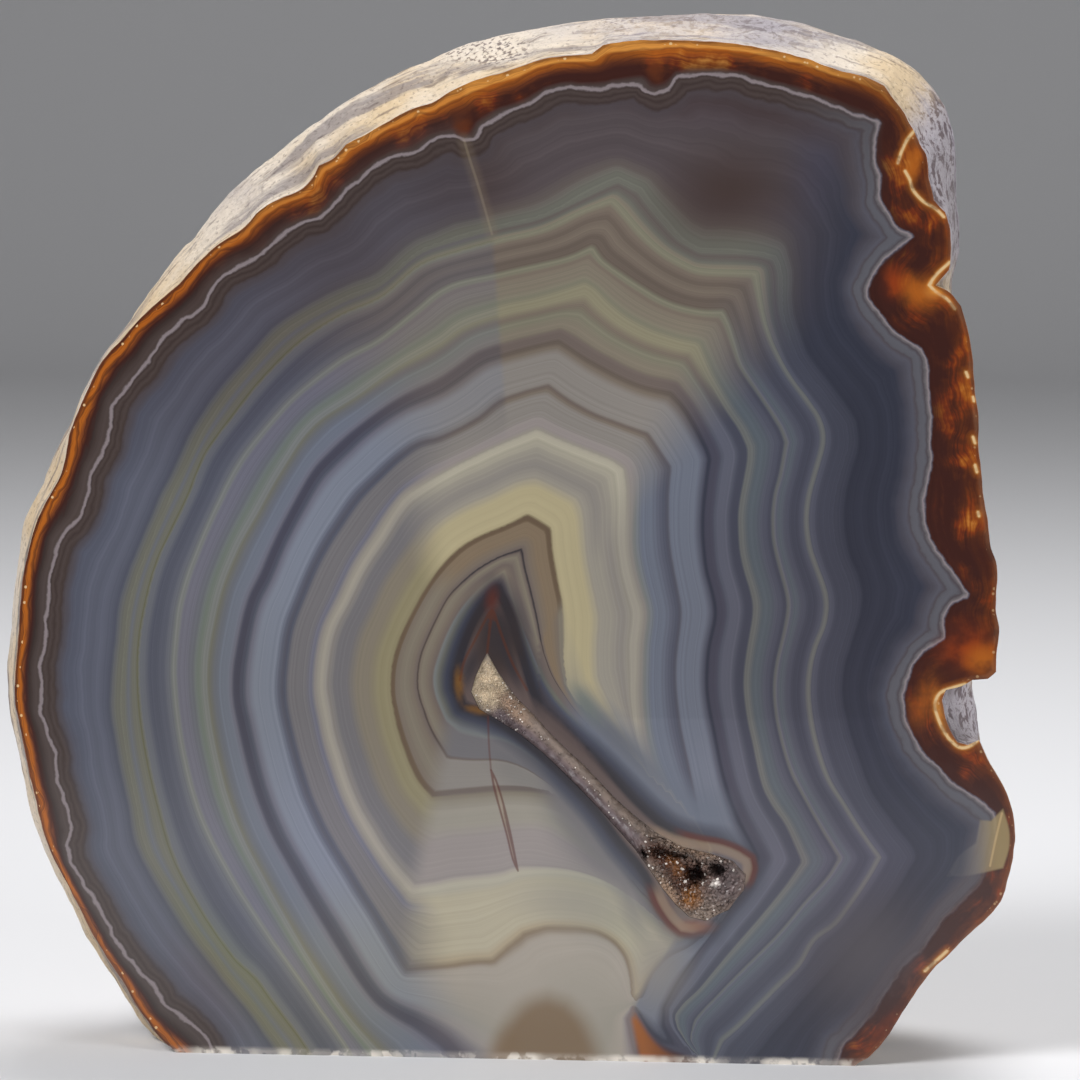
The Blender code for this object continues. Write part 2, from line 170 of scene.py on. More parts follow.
OLIVE_LINE = [
    (310, 1051), (274, 1002), (256, 977), (238, 961), (225, 945), (197, 902), (175, 858),
    (158, 800), (146, 745), (139, 682), (140, 639), (147, 600), (157, 563), (171, 532),
    (187, 500), (205, 455), (232, 418), (260, 382), (300, 343), (340, 316), (380, 298),
    (420, 265), (460, 251), (500, 240), (540, 230), (580, 212), (612, 200), (625, 215),
    (640, 232), (660, 250), (680, 262), (700, 270), (757, 272), (760, 295), (768, 330),
    (785, 368), (808, 400), (820, 418), (824, 440), (817, 470), (810, 495), (807, 520),
    (810, 545), (818, 570), (825, 590), (827, 605), (824, 625), (816, 645), (811, 665),
    (809, 690), (812, 721), (819, 753), (830, 782), (845, 805), (862, 832), (880, 857),
    (868, 878), (850, 905), (835, 925), (815, 940), (800, 965), (780, 985), (760, 1005),
    (740, 1025), (722, 1040), (712, 1062),
]
GREY_LINE = [
    (350, 1054), (335, 1030), (300, 980), (262, 925), (228, 872), (200, 815), (182, 750),
    (174, 680), (176, 640), (181, 600), (198, 550), (220, 500), (245, 455), (280, 412),
    (300, 392), (340, 362), (380, 340), (420, 308), (440, 292), (460, 283), (500, 275),
    (540, 266), (570, 258), (592, 248), (600, 260), (620, 275), (640, 288), (660, 300),
    (680, 308), (705, 313), (722, 313), (728, 325), (735, 345), (742, 365), (755, 385),
    (782, 425), (789, 442), (783, 475), (777, 495), (775, 520), (777, 545), (788, 590),
    (790, 605), (787, 625), (778, 665), (776, 690), (778, 715), (785, 745), (795, 775),
    (808, 800), (825, 830), (843, 858), (830, 878), (805, 905), (780, 935), (750, 965),
    (720, 995), (697, 1020), (690, 1040), (700, 1062),
]
FINE_LINE = [
    (380, 1056), (352, 1025), (320, 980), (290, 930), (262, 880), (233, 820), (216, 760),
    (206, 700), (206, 660), (216, 600), (228, 565), (245, 530), (280, 470), (300, 438),
    (320, 417), (360, 391), (400, 363), (440, 340), (460, 325), (500, 311), (540, 302),
    (585, 287), (592, 291), (605, 305), (625, 322), (650, 335), (675, 343), (695, 347),
    (700, 358), (708, 375), (728, 410), (742, 430), (750, 447), (750, 460), (743, 495),
    (741, 515), (742, 540), (746, 565), (755, 600), (755, 615), (749, 655), (747, 675),
    (747, 695), (750, 720), (757, 750), (765, 785), (775, 805), (788, 825), (805, 862),
    (785, 890), (760, 920), (732, 953), (700, 990), (685, 1003), (675, 1015), (677, 1028),
    (690, 1047), (700, 1058),
]
PLUM_LINE = [
    (461, 1058), (445, 1040), (415, 1020), (400, 1013), (380, 1000), (364, 980),
    (333, 930), (303, 880), (276, 830), (257, 780), (242, 720), (238, 693), (240, 660),
    (253, 600), (266, 575), (281, 540), (302, 500), (320, 470), (340, 450), (360, 432),
    (400, 403), (440, 385), (460, 371), (480, 357), (500, 350), (540, 340), (560, 335),
    (585, 352), (600, 361), (640, 379), (675, 387), (690, 407), (710, 446), (714, 458),
    (711, 480), (708, 520), (711, 565), (719, 600), (720, 618), (713, 655), (712, 695),
    (722, 746), (733, 790), (742, 815), (762, 858), (742, 895), (728, 912), (715, 930),
    (700, 952), (688, 972), (676, 992), (667, 1008), (668, 1024), (680, 1041),
    (697, 1056), (660, 1047), (646, 1032), (634, 1005), (627, 1018), (631, 1036),
    (637, 1060), (600, 1100), (520, 1100),
]
INNER_PLUM = [
    (407, 970), (383, 930), (352, 880), (323, 830), (304, 785), (288, 730), (283, 700),
    (284, 664), (290, 628), (300, 600), (314, 565), (328, 540), (355, 500), (380, 475),
    (400, 456), (420, 443), (440, 438), (480, 418), (500, 402), (520, 394), (548, 386),
    (570, 402), (590, 413), (610, 421), (647, 435), (669, 468), (667, 500), (668, 545),
    (680, 607), (680, 620), (675, 660), (675, 690), (680, 732), (693, 789), (704, 840),
    (730, 870), (728, 905), (708, 932), (690, 946), (668, 957), (652, 974), (643, 996),
    (636, 1003), (631, 996), (630, 976), (625, 957), (614, 942), (598, 932), (574, 927),
    (548, 927), (524, 933), (508, 947), (493, 961), (446, 966),
]
CREAM_LINE = [
    (412, 893), (385, 860), (355, 810), (334, 755), (322, 700), (322, 664), (330, 628),
    (344, 600), (360, 565), (380, 535), (403, 500), (420, 488), (460, 465), (500, 446),
    (537, 431), (560, 441), (610, 461), (622, 470), (625, 495), (624, 550), (633, 592),
    (639, 612), (636, 650), (634, 690), (636, 720), (640, 745), (648, 770), (660, 790),
    (676, 811), (692, 828), (712, 850), (700, 900), (680, 938), (656, 918), (630, 897),
    (600, 881), (560, 872), (520, 874), (500, 881),
]
TAN_LINE = [
    (433, 796), (420, 780), (405, 745), (395, 710), (392, 690), (395, 660), (410, 620),
    (432, 582), (460, 551), (480, 538), (500, 530), (527, 518), (548, 530), (550, 550),
    (555, 580), (560, 605), (562, 660), (566, 688), (577, 704), (594, 719), (618, 742),
    (645, 769), (668, 791), (690, 815), (712, 846), (692, 892), (664, 914), (645, 895),
    (625, 872), (606, 850), (590, 828), (575, 808), (560, 797), (545, 790), (500, 788),
    (460, 792),
]
INK_LINE = [
    (448, 757), (432, 730), (424, 710), (418, 690), (418, 672), (422, 652), (440, 612),
    (450, 595), (465, 580), (480, 568), (500, 557), (522, 549), (524, 565), (530, 590),
    (537, 620), (543, 650), (552, 675), (566, 697), (584, 721), (608, 747), (636, 777),
    (660, 802), (684, 826), (700, 848), (686, 884), (666, 912), (650, 895), (632, 874),
    (612, 852), (592, 830), (572, 806), (550, 785), (525, 768), (500, 760), (472, 759),
]
PALE_LINE = [
    (447, 720), (438, 700), (434, 680), (438, 660), (455, 620), (479, 590), (504, 571),
    (517, 615), (531, 651), (545, 682), (562, 705), (583, 727), (608, 753), (636, 783),
    (660, 807), (688, 828), (696, 846), (682, 880), (666, 908), (652, 890), (636, 870),
    (618, 849), (598, 825), (575, 798), (550, 772), (525, 751), (503, 739), (485, 736),
    (460, 730),
]
QUARTZ_EDGE = [
    (463, 706), (456, 688), (457, 670), (466, 639), (479, 612), (497, 590), (509, 612),
    (521, 651), (534, 694), (540, 710), (563, 731), (588, 752), (614, 777), (642, 806),
    (664, 825), (681, 834), (700, 839), (722, 843), (740, 850), (752, 858), (754, 868),
    (750, 882), (740, 895), (725, 912), (711, 930), (693, 935), (680, 933), (668, 921),
    (657, 904), (650, 886), (640, 868), (620, 844), (598, 814), (573, 786), (548, 761),
    (521, 738), (503, 725), (488, 715),
]
BAND_LINES = [
    (FACE_EDGE + SAWN_OFF, 0), (WHITE_LINE, 86), (FAINT_LINE, 70), (OLIVE_LINE, 62),
    (GREY_LINE, 50), (FINE_LINE, 42), (PLUM_LINE, 0), (INNER_PLUM, 0), (CREAM_LINE, 0),
    (TAN_LINE, 0), (INK_LINE, 0), (PALE_LINE, 0), (QUARTZ_EDGE, 0),
]

# Areas of the face with a colour of their own, and the cell below the hollow
WEDGE = [
    (633, 1007), (642, 1020), (652, 1035), (664, 1047), (684, 1056), (712, 1063),
    (712, 1080), (640, 1080), (637, 1056), (633, 1038), (629, 1020),
]
DOME = [
    (548, 998), (566, 1004), (580, 1018), (590, 1036), (598, 1062), (598, 1085),
    (490, 1085), (490, 1060), (505, 1030), (520, 1010), (534, 1001),
]
WINDOW = [
    (980, 820), (991, 821), (1003, 809), (1009, 830), (1009, 848), (1003, 868),
    (966, 876), (947, 876), (959, 856), (976, 843),
]
LOWER_CELL = [
    (447, 722), (433, 796), (412, 893), (407, 970), (430, 1030), (461, 1062), (461, 1110),
    (640, 1110), (634, 1005), (650, 975), (678, 935), (640, 868), (573, 786), (503, 725),
]

# Fine lines drawn in the stone: healed cracks, rays in the quartz above the
# hollow, and cream threads in the rind
YELLOW_CRACK = [(464, 140), (470, 160), (478, 185), (492, 234)]
RED_SLIVER = [
    (491, 770), (496, 780), (503, 802), (509, 826), (514, 850), (518, 871), (513, 860),
    (507, 836), (500, 810), (494, 788),
]
RED_CRACK = [(488, 716), (489, 745), (491, 770)]
QUARTZ_RAYS = [
    [(492, 610), (489, 635), (487, 656)],
    [(489, 613), (476, 638), (464, 662), (460, 680)],
    [(494, 612), (502, 636), (513, 664), (527, 690)],
]
CREAM_THREADS = [
    [(914, 131), (907, 140), (901, 153), (898, 163)],
    [(905, 171), (910, 180), (913, 190), (924, 202), (935, 208), (944, 217)],
    [(950, 262), (936, 275), (929, 285), (936, 292), (947, 299), (955, 309)],
    [(966, 372), (968, 377)], [(973, 397), (974, 401)], [(973, 437), (975, 443)],
    [(975, 465), (977, 472)], [(978, 512), (979, 516)],
    [(966, 684), (952, 688), (940, 693), (935, 704), (938, 718), (945, 733), (953, 743),
     (962, 748), (972, 745), (979, 739)],
    [(925, 971), (936, 961), (947, 951)],
]
WINDOW_CREASE = [(1002, 813), (996, 838), (990, 866)]
SLIVER_MIDDLE = [(494, 779), (499, 796), (504, 819), (510, 843), (515, 864)]

# Mouth of the hollow: pairs of points on its lower left and upper right edge
# from the narrow tip to the wide end, with its depth in millimetres
HOLLOW_PAIRS = [
    ((481, 664), (492, 661), 1.6), ((475, 677), (498, 672), 2.6),
    ((471, 692), (507, 685), 3.4), ((479, 709), (519, 700), 3.8),
    ((499, 721), (535, 716), 3.8), ((521, 735), (549, 732), 3.6),
    ((543, 753), (566, 749), 3.6), ((563, 772), (583, 764), 3.8),
    ((583, 792), (599, 781), 4.0), ((602, 812), (616, 799), 4.4),
    ((619, 831), (635, 816), 5.2), ((635, 849), (657, 833), 6.6),
    ((649, 869), (683, 847), 8.4), ((662, 888), (709, 853), 9.6),
    ((675, 904), (733, 861), 10.0), ((689, 917), (746, 875), 9.4),
    ((706, 921), (744, 890), 7.0), ((719, 914), (735, 901), 4.0),
]
HOLLOW_TIP = (487, 652)
HOLLOW_END = (729, 910)
HOLLOW_ROUNDING = 0.6
HOLLOW_STEPS = 6
HOLLOW_ACROSS = 20
CRUST_GAP = 0.06 * MM
CRUST_THICKNESS = 0.9 * MM
CRUST_SHARE = 0.6

# How deep the druse lies at each pair, as a share of the hollow, and its two
# holes: centre and radii in the picture, depth in millimetres
DRUSE_DEPTHS = [0.50, 0.45, 0.42, 0.40, 0.34, 0.28, 0.26, 0.26, 0.26, 0.26, 0.26, 0.26,
                0.24, 0.21, 0.20, 0.20, 0.24, 0.34]
DRUSE_HOLES = [((693, 876), (17, 16), 4.6), ((716, 871), (12, 11), 3.8),
               ((664, 856), (28, 9), 3.4)]
DRUSE_SPOTS = [
    ("cream", (487, 684), (27, 34), 0, 0.5, 1.0),
    ("tan", (514, 708), (34, 14), 42, 0.8, 0.9),
    ("tan", (700, 852), (54, 9), 16, 0.9, 0.8),
    ("brown", (664, 860), (38, 17), 42, 0.7, 0.95),
    ("dusk", (726, 882), (36, 44), 0, 0.8, 0.8),
    ("brown", (686, 880), (38, 36), 0, 0.8, 0.9),
    ("tan", (668, 893), (26, 8), 56, 0.8, 0.85),
    ("amber", (690, 900), (16, 15), 0, 0.9, 0.9),
    ("amber", (674, 868), (9, 22), -30, 0.9, 0.5),
    ("shadow", (693, 876), (13, 12), 0, 0.6, 0.9),
    ("shadow", (716, 871), (10, 9), 0, 0.6, 0.85),
    # A painted glint: a small pale sparkle spot on the wide end
    ("sparkle", (715, 885), (5, 5), 0, 0.6, 0.9),
]

# Colours of the bands at their places: left side, top, right side, lower cell.
# The whole number is the traced line, from 0 at the edge to 12 at the quartz.
BANDS = [
    (0.00, "rust", "amber", "rind_tan", "rust"),
    (0.05, "rust", "amber", "rind_tan", "rust"),
    (0.10, "rind_orange", "amber", "carnelian", "rind_orange"),
    (0.18, "rind_orange", "amber", "rust", "rind_orange"),
    (0.24, "rind_orange", "rind_orange", "rust", "rind_orange"),
    (0.34, "carnelian", "rind_orange", "rust", "carnelian"),
    (0.44, "maroon", "carnelian", "maroon", "maroon"),
    (0.58, "dark_umber", "maroon", "maroon", "dark_umber"),
    (0.80, "umber", "maroon", "maroon", "umber"),
    (0.96, "umber", "umber", "maroon", "umber"),
    (1.04, "umber", "umber", "warm_slate", "umber"),
    (1.16, "umber", "dark_mauve", "warm_slate", "umber"),
    (1.30, "slate", "mauve", "navy", "slate"),
    (1.50, "slate_blue", "mauve", "navy", "slate_blue"),
    (1.72, "slate_blue", "mauve", "navy", "slate_blue"),
    (1.84, "slate", "pale_mauve", "navy", "slate"),
    (1.94, "olive_grey", "olive_grey", "dark_slate", "olive_grey"),
    (2.08, "olive_grey", "olive_grey", "dark_slate", "olive_grey"),
    (2.30, "grey", "pale_mauve", "dark_slate", "grey"),
    (2.58, "olive_grey", "olive_grey", "dark_slate", "olive_grey"),
    (2.80, "olive_grey", "beige", "slate", "olive_grey"),
    (2.89, "olive_line", "pale_olive", "slate", "olive_line"),
    (2.97, "olive_grey", "pale_olive", "pale_slate", "olive_grey"),
    (3.05, "grey", "pale_olive", "pale_slate", "pale_grey"),
    (3.14, "grey", "stone_beige", "slate", "grey"),
    (3.30, "slate", "brown_taupe", "dark_slate", "slate"),
    (3.50, "slate", "stone_beige", "dark_slate", "slate"),
    (3.70, "slate_blue", "brown_taupe", "slate", "grey"),
    (3.88, "grey", "brown_taupe", "teal_grey", "pale_grey"),
    (3.97, "pale_grey", "pale_olive", "slate_blue", "purple_grey"),
    (4.05, "pale_grey", "pale_olive", "pale_slate", "purple_grey"),
    (4.14, "lavender", "stone_beige", "dark_slate", "lavender"),
    (4.38, "lavender", "beige", "slate", "lavender"),
    (4.60, "grey", "beige", "teal_grey", "grey"),
    (4.78, "sage", "pale_olive", "teal_grey", "sage"),
    (4.96, "pale_grey", "bright_olive", "pale_slate", "pale_grey"),
    (5.04, "pale_grey", "bright_olive", "pale_slate", "pale_grey"),
    (5.11, "olive_grey", "bright_olive", "dark_slate", "lavender"),
    (5.28, "grey", "stone_beige", "dark_slate", "grey"),
    (5.45, "light_slate", "pale_olive", "slate_blue", "light_blue"),
    (5.66, "light_slate", "beige", "slate_blue", "light_blue"),
    (5.80, "lavender", "beige", "slate", "lavender"),
    (5.89, "plum", "taupe", "plum", "mauve_line"),
    (6.03, "plum", "taupe", "plum", "mauve_line"),
    (6.13, "slate", "brown_taupe", "navy", "soft_purple"),
    (6.22, "lavender", "stone_beige", "slate", "lilac_tan"),
    (6.36, "light_blue", "warm_grey", "light_slate", "cream_grey"),
    (6.80, "light_blue", "warm_grey", "light_slate", "lilac_tan"),
    (6.92, "slate_blue", "warm_grey", "light_slate", "lilac_tan"),
    (6.99, "plum_grey", "taupe", "plum_grey", "tan_line"),
    (7.07, "slate", "stone_beige", "slate", "yellow_tan"),
    (7.18, "purple_grey", "warm_grey", "slate_blue", "cream_yellow"),
    (7.36, "purple_grey", "warm_grey", "light_slate", "cream_yellow"),
    (7.60, "purple_grey", "warm_grey", "light_slate", "cream_yellow"),
    (7.75, "lavender", "soft_purple", "pale_grey", "cream_yellow"),
    (7.86, "warm_grey", "soft_purple", "warm_grey", "cream_yellow"),
    (7.95, "cream_grey", "cream_grey", "cream_grey", "cream"),
    (8.03, "cream_grey", "cream", "cream_grey", "cream"),
    (8.10, "warm_grey", "cream", "cream_grey", "soft_purple"),
    (8.20, "purple_grey", "cream_grey", "warm_grey", "soft_purple"),
    (8.36, "purple_grey", "warm_grey", "cream_grey", "soft_purple"),
    (8.50, "beige", "cream_grey", "cream_grey", "soft_purple"),
    (8.64, "beige", "gold_cream", "gold_cream", "cream_grey"),
    (8.80, "olive_yellow", "gold_cream", "gold_cream", "cream_grey"),
    (8.95, "olive_yellow", "gold_cream", "gold_cream", "beige"),
    (8.99, "dark_tan", "dark_tan", "beige", "taupe"),
    (9.07, "dark_tan", "dark_tan", "beige", "taupe"),
    (9.14, "stone_beige", "tan_line", "stone_beige", "warm_grey"),
    (9.50, "beige", "tan_line", "tan_line", "warm_grey"),
    (9.82, "stone_beige", "stone_beige", "tan_line", "warm_grey"),
    (9.94, "taupe", "taupe", "taupe", "warm_grey"),
    (10.00, "umber", "ink", "umber", "taupe"),
    (10.08, "stone_beige", "taupe", "taupe", "purple_grey"),
    (10.25, "beige", "beige", "taupe", "purple_grey"),
    (10.60, "stone_beige", "taupe", "taupe", "purple_grey"),
    (10.88, "taupe", "stone_beige", "olive_grey", "purple_grey"),
    (11.00, "pale_grey", "beige", "olive_grey", "pale_grey"),
    (11.20, "olive_grey", "taupe", "slate", "grey"),
    (11.55, "dark_slate", "dark_umber", "umber", "slate"),
    (12.00, "ink", "ink", "ink", "navy"),
]

# Soft spots of colour on the face: name, centre and radii in the picture,
# turn in degrees, softness of the edge, and how much of the colour shows
SPOTS = [
    ("smoky", (728, 192), (104, 74), -8, 1.0, 0.9),
    ("rust", (462, 120), (13, 21), 0, 0.6, 0.85),
    ("rust", (656, 72), (12, 13), 0, 0.6, 0.9),
    ("rind_orange", (914, 164), (12, 28), 10, 0.8, 0.85),
    ("maroon", (924, 168), (8, 20), 10, 0.9, 0.8),
    ("rind_orange", (918, 292), (34, 24), 30, 1.0, 0.9),
    ("amber", (938, 287), (20, 14), -30, 1.0, 0.9),
    ("ember", (893, 283), (18, 26), 0, 1.0, 0.95),
    ("ember", (966, 648), (40, 40), 0, 1.0, 1.0),
    ("rind_orange", (984, 660), (30, 24), 0, 1.0, 0.95),
    ("rind_orange", (925, 700), (18, 44), 20, 1.0, 0.5),
    ("amber", (940, 712), (8, 30), -14, 0.9, 0.7),
    ("amber", (966, 687), (24, 6), -8, 0.9, 0.8),
    ("rust", (905, 110), (22, 14), 40, 0.9, 0.7),
    ("ember", (890, 1026), (14, 40), 38, 0.9, 0.7),
    ("dark_umber", (497, 645), (36, 58), 0, 0.7, 0.85),
    ("grey", (618, 738), (86, 15), 47, 1.0, 0.9),
    ("sage", (586, 704), (40, 14), 56, 1.0, 0.7),
    ("quartz_grey", (572, 748), (88, 13), 47, 0.6, 0.85),
    ("ink", (498, 632), (26, 46), 0, 0.8, 0.6),
    ("ink", (470, 668), (12, 34), 20, 0.9, 0.8),
    ("ink", (512, 668), (9, 38), -22, 0.9, 0.8),
    ("blood", (492, 600), (11, 23), 8, 1.0, 0.85),
    ("gold_brown", (459, 684), (7, 24), -4, 0.8, 0.85),
    ("gold_brown", (476, 710), (18, 6), 14, 0.8, 0.8),
    ("tan", (672, 840), (44, 9), 26, 0.8, 0.65),
    ("tan", (655, 868), (8, 28), -34, 0.8, 0.5),
    ("terracotta", (690, 927), (34, 11), 0, 0.9, 0.9),
    ("blood", (661, 906), (13, 32), -35, 1.0, 0.7),
    ("warm_slate", (868, 955), (96, 70), -48, 1.0, 0.75),
    ("warm_grey", (660, 968), (46, 74), 16, 1.0, 0.75),
    ("cream_grey", (572, 902), (100, 40), 8, 1.0, 0.7),
    ("gold_brown", (506, 1044), (20, 30), 20, 0.9, 0.35),
]

# Veils over the bands: centre and radii, turn, softness, and the share of red,
# green and blue light that they leave
VEILS = [
    ((265, 310), (265, 130), -42, 0.8, (0.80, 0.74, 0.73)),
    ((200, 720), (130, 320), 0, 1.0, (1.06, 1.03, 0.95)),
    ((460, 186), (95, 66), -14, 0.9, (0.78, 0.70, 0.66)),
    ((720, 105), (190, 40), 6, 0.9, (0.94, 0.90, 0.94)),
    ((815, 165), (42, 75), 10, 1.0, (0.98, 1.02, 1.16)),
    ((870, 960), (150, 95), -48, 0.8, (0.77, 0.66, 0.68)),
    ((850, 860), (130, 70), 0, 1.0, (1.05, 0.98, 1.03)),
    ((860, 500), (60, 240), 0, 0.9, (0.90, 0.90, 0.90)),
    ((800, 700), (190, 440), 0, 1.0, (1.09, 1.01, 0.97)),
    ((592, 836), (88, 42), 42, 0.8, (0.64, 0.66, 0.72)),
    ((606, 905), (110, 62), 32, 0.9, (0.78, 0.82, 0.83)),
    ((520, 775), (50, 24), 28, 0.9, (0.86, 0.88, 0.90)),
    ((760, 770), (150, 52), 0, 0.9, (1.07, 1.06, 1.06)),
    ((340, 830), (70, 140), -28, 0.9, (1.09, 1.08, 1.12)),
    ((225, 960), (36, 120), -36, 0.9, (1.0, 1.04, 0.86)),
    ((335, 995), (160, 130), -40, 0.9, (1.2, 1.13, 0.9)),
    ((208, 985), (44, 90), -36, 1.0, (1.04, 0.9, 0.86)),
]

# Spots of the rough skin where it looks chalky, and where it is a pale network
# over dark hollows
CHALK_SPOTS = [((485, 50), (66, 22), 0.9), ((620, 22), (50, 14), 0.6)]
NETWORK_SPOTS = [((935, 180), (80, 155), 0.95), ((960, 712), (60, 60), 1.0),
                 ((715, 28), (230, 40), 0.5)]


def smooth_step(value):
    """Ease from 0 to 1."""
    value = min(1.0, max(0.0, value))
    return value * value * (3.0 - 2.0 * value)


def ease(values):
    """Ease an array of values from 0 to 1."""
    values = np.clip(values, 0.0, 1.0)
    return values * values * (3.0 - 2.0 * values)


def view_axes():
    """Eye of the photograph's view, and its back, right and up directions."""
    back = Vector((math.sin(VIEW_ASIDE) * math.cos(VIEW_RAISED),
                   -math.cos(VIEW_ASIDE) * math.cos(VIEW_RAISED), math.sin(VIEW_RAISED)))
    right = Vector((math.cos(VIEW_ASIDE), math.sin(VIEW_ASIDE), 0.0))
    eye = Vector((0.0, 0.0, VIEW_TARGET_HEIGHT)) + back * VIEW_DISTANCE
    return eye, back, right, back.cross(right)


def on_plane(picture_point, depth):
    """Place (x, z) that a picture point shows, in the plane this far behind the face."""
    eye, back, right, up = view_axes()
    across = (picture_point[0] - PICTURE_MIDDLE) / FOCAL_PIXELS
    upward = (PICTURE_MIDDLE - picture_point[1]) / FOCAL_PIXELS
    ray = right * across + up * upward - back
    hit = eye + ray * ((depth - eye.y) / ray.y)
    return Vector((hit.x, hit.z))


def on_face(picture_point):
    """Place (x, z) on the polished face that a picture point shows."""
    return on_plane(picture_point, 0.0)


def to_picture(places):
    """Picture points that an array of places (x, y, z) is seen at."""
    eye, back, right, up = [np.array(item) for item in view_axes()]
    away = places - eye
    reach = -(away @ back)
    return np.column_stack((PICTURE_MIDDLE + FOCAL_PIXELS * (away @ right) / reach,
                            PICTURE_MIDDLE - FOCAL_PIXELS * (away @ up) / reach))


def smooth_path(points, step, closed, sharp=math.radians(24)):
    """Points about one step apart on a smooth curve through the given points, which
    keeps a corner where the path turns sharply."""
    points = np.array(points, dtype=float)
    count = len(points)
    ahead, behind = np.roll(points, -1, 0), np.roll(points, 1, 0)
    into, out = points - behind, ahead - points
    turn = np.abs((np.arctan2(out[:, 1], out[:, 0]) - np.arctan2(into[:, 1], into[:, 0])
                   + math.pi) % math.tau - math.pi)
    corner = turn > sharp
    if not closed:
        corner[0] = corner[-1] = True
    path = []
    for number in range(count if closed else count - 1):
        follow = (number + 1) % count
        start, end = points[number], points[follow]
        run = np.linalg.norm(end - start)
        leave = end - start if corner[number] else (ahead[number] - behind[number]) / 2
        meet = end - start if corner[follow] else (ahead[follow] - behind[follow]) / 2
        leave = leave * run / max(np.linalg.norm(leave), 1e-9)
        meet = meet * run / max(np.linalg.norm(meet), 1e-9)
        pieces = max(1, round(run / step))
        for piece in range(pieces):
            part = piece / pieces
            square, cube = part ** 2, part ** 3
            path.append(start * (2 * cube - 3 * square + 1) + leave * (cube - 2 * square + part)
                        + end * (3 * square - 2 * cube) + meet * (cube - square))
    if not closed:
        path.append(points[-1])
    return np.array(path)


def closed_below(points, sag):
    """Close a band that runs out at the base by an arc below it."""
    if not sag:
        return points
    first, last = Vector(points[0]), Vector(points[-1])
    steps = 10
    arc = []
    for step in range(1, steps):
        turn = math.pi * step / steps
        flat = last.lerp(first, 0.5 - 0.5 * math.cos(turn))
        arc.append((flat.x, flat.y + 12 + sag * math.sin(turn)))
    return points + arc


def distance_to(path, places, closed=True):
    """Distance from each place to a path of straight runs."""
    starts = path if closed else path[:-1]
    ends = np.roll(path, -1, 0) if closed else path[1:]
    runs = ends - starts
    squares = np.maximum((runs ** 2).sum(1), 1e-12)
    nearest = np.empty(len(places))
    for low in range(0, len(places), 4000):
        away = places[low:low + 4000, None, :] - starts[None, :, :]
        part = np.clip((away * runs).sum(2) / squares, 0.0, 1.0)
        away -= part[:, :, None] * runs
        nearest[low:low + 4000] = np.sqrt((away ** 2).sum(2).min(1))
    return nearest


def inside(path, places):
    """Which places lie inside a closed path."""
    found = np.zeros(len(places), dtype=bool)
    for start, end in zip(path, np.roll(path, -1, 0)):
        crosses = (start[1] > places[:, 1]) != (end[1] > places[:, 1])
        if start[1] != end[1]:
            side = start[0] + (places[:, 1] - start[1]) * (end[0] - start[0]) / (end[1] - start[1])
            found ^= crosses & (places[:, 0] < side)
    return found


def depth_within(outline, places):
    """Distance inside a closed outline, below zero outside it."""
    path = smooth_path(outline, 6.0, True)
    return distance_to(path, places) * np.where(inside(path, places), 1.0, -1.0)


def band_field(places):
    """Band number at each picture point: a traced line is a whole number, and between two
    lines it grows with the share of the way from one to the other."""
    paths = [smooth_path(closed_below(line, sag), 7.0, True) for line, sag in BAND_LINES]
    level = np.zeros(len(places), dtype=int)
    for number, path in enumerate(paths[:-1]):
        level[inside(path, places)] = number
    band = np.zeros(len(places))
    for number, (outer_path, inner_path) in enumerate(zip(paths, paths[1:])):
        here = level == number
        if here.any():
            outer = distance_to(outer_path, places[here])
            inner = distance_to(inner_path, places[here])
            band[here] = number + outer / np.maximum(outer + inner, 1e-6)
    return band


class Loop:
    """A closed outline in the face that can be read at any share of its length."""

    def __init__(self, points):
        self.points = [Vector(point) for point in points]
        self.marks = [0.0]
        for here, there in zip(self.points, self.points[1:] + self.points[:1]):
            self.marks.append(self.marks[-1] + (there - here).length)
        self.length = self.marks[-1]

    def at(self, share):
        """Point at a share of the way round."""
        travel = (share % 1.0) * self.length
        low, high = 0, len(self.points)
        while high - low > 1:
            middle = (low + high) // 2
            if self.marks[middle] <= travel:
                low = middle
            else:
                high = middle
        run = self.marks[low + 1] - self.marks[low]
        there = self.points[(low + 1) % len(self.points)]
        return self.points[low].lerp(there, (travel - self.marks[low]) / run)

    def evened(self, share):
        """The same point with the notches near it evened out."""
        total = Vector((0.0, 0.0))
        steps = 7
        for step in range(-steps, steps + 1):
            total += self.at(share + step / steps * EVEN_REACH / self.length)
        return total / (2 * steps + 1)


class Body:
    """The widest outline of the rough body, read by its direction from the centre."""

    def __init__(self, points):
        self.centre = Vector((CENTRE_SIDE, CENTRE_HEIGHT))
        spokes = [Vector(point) - self.centre for point in points]
        self.spokes = sorted((math.atan2(spoke.y, spoke.x), spoke.length) for spoke in spokes)

    def towards(self, direction):
        """Point of the outline in a direction from the centre."""
        angle = math.atan2(direction.y, direction.x)
        low, high = -1, len(self.spokes)
        while high - low > 1:
            middle = (low + high) // 2
            if self.spokes[middle][0] > angle:
                high = middle
            else:
                low = middle
        angle_a, reach_a = self.spokes[(high - 1) % len(self.spokes)]
        angle_b, reach_b = self.spokes[high % len(self.spokes)]
        part = ((angle - angle_a) % math.tau) / ((angle_b - angle_a) % math.tau)
        return self.centre + direction * (reach_a + (reach_b - reach_a) * part)


def skin_relief(place):
    """Height of the rough skin at a place: lumps and knobs less the pits."""
    lumps = noise.noise(place / LUMP_SIZE) * LUMP_HEIGHT
    knobs = noise.noise(place / KNOB_SIZE + Vector((7.0, 3.0, 1.0))) * KNOB_HEIGHT
    nearest = noise.voronoi(place / PIT_SIZE)[0][0]
    pits = smooth_step((PIT_REACH - nearest) / PIT_REACH) * PIT_DEPTH
    return lumps + knobs - pits


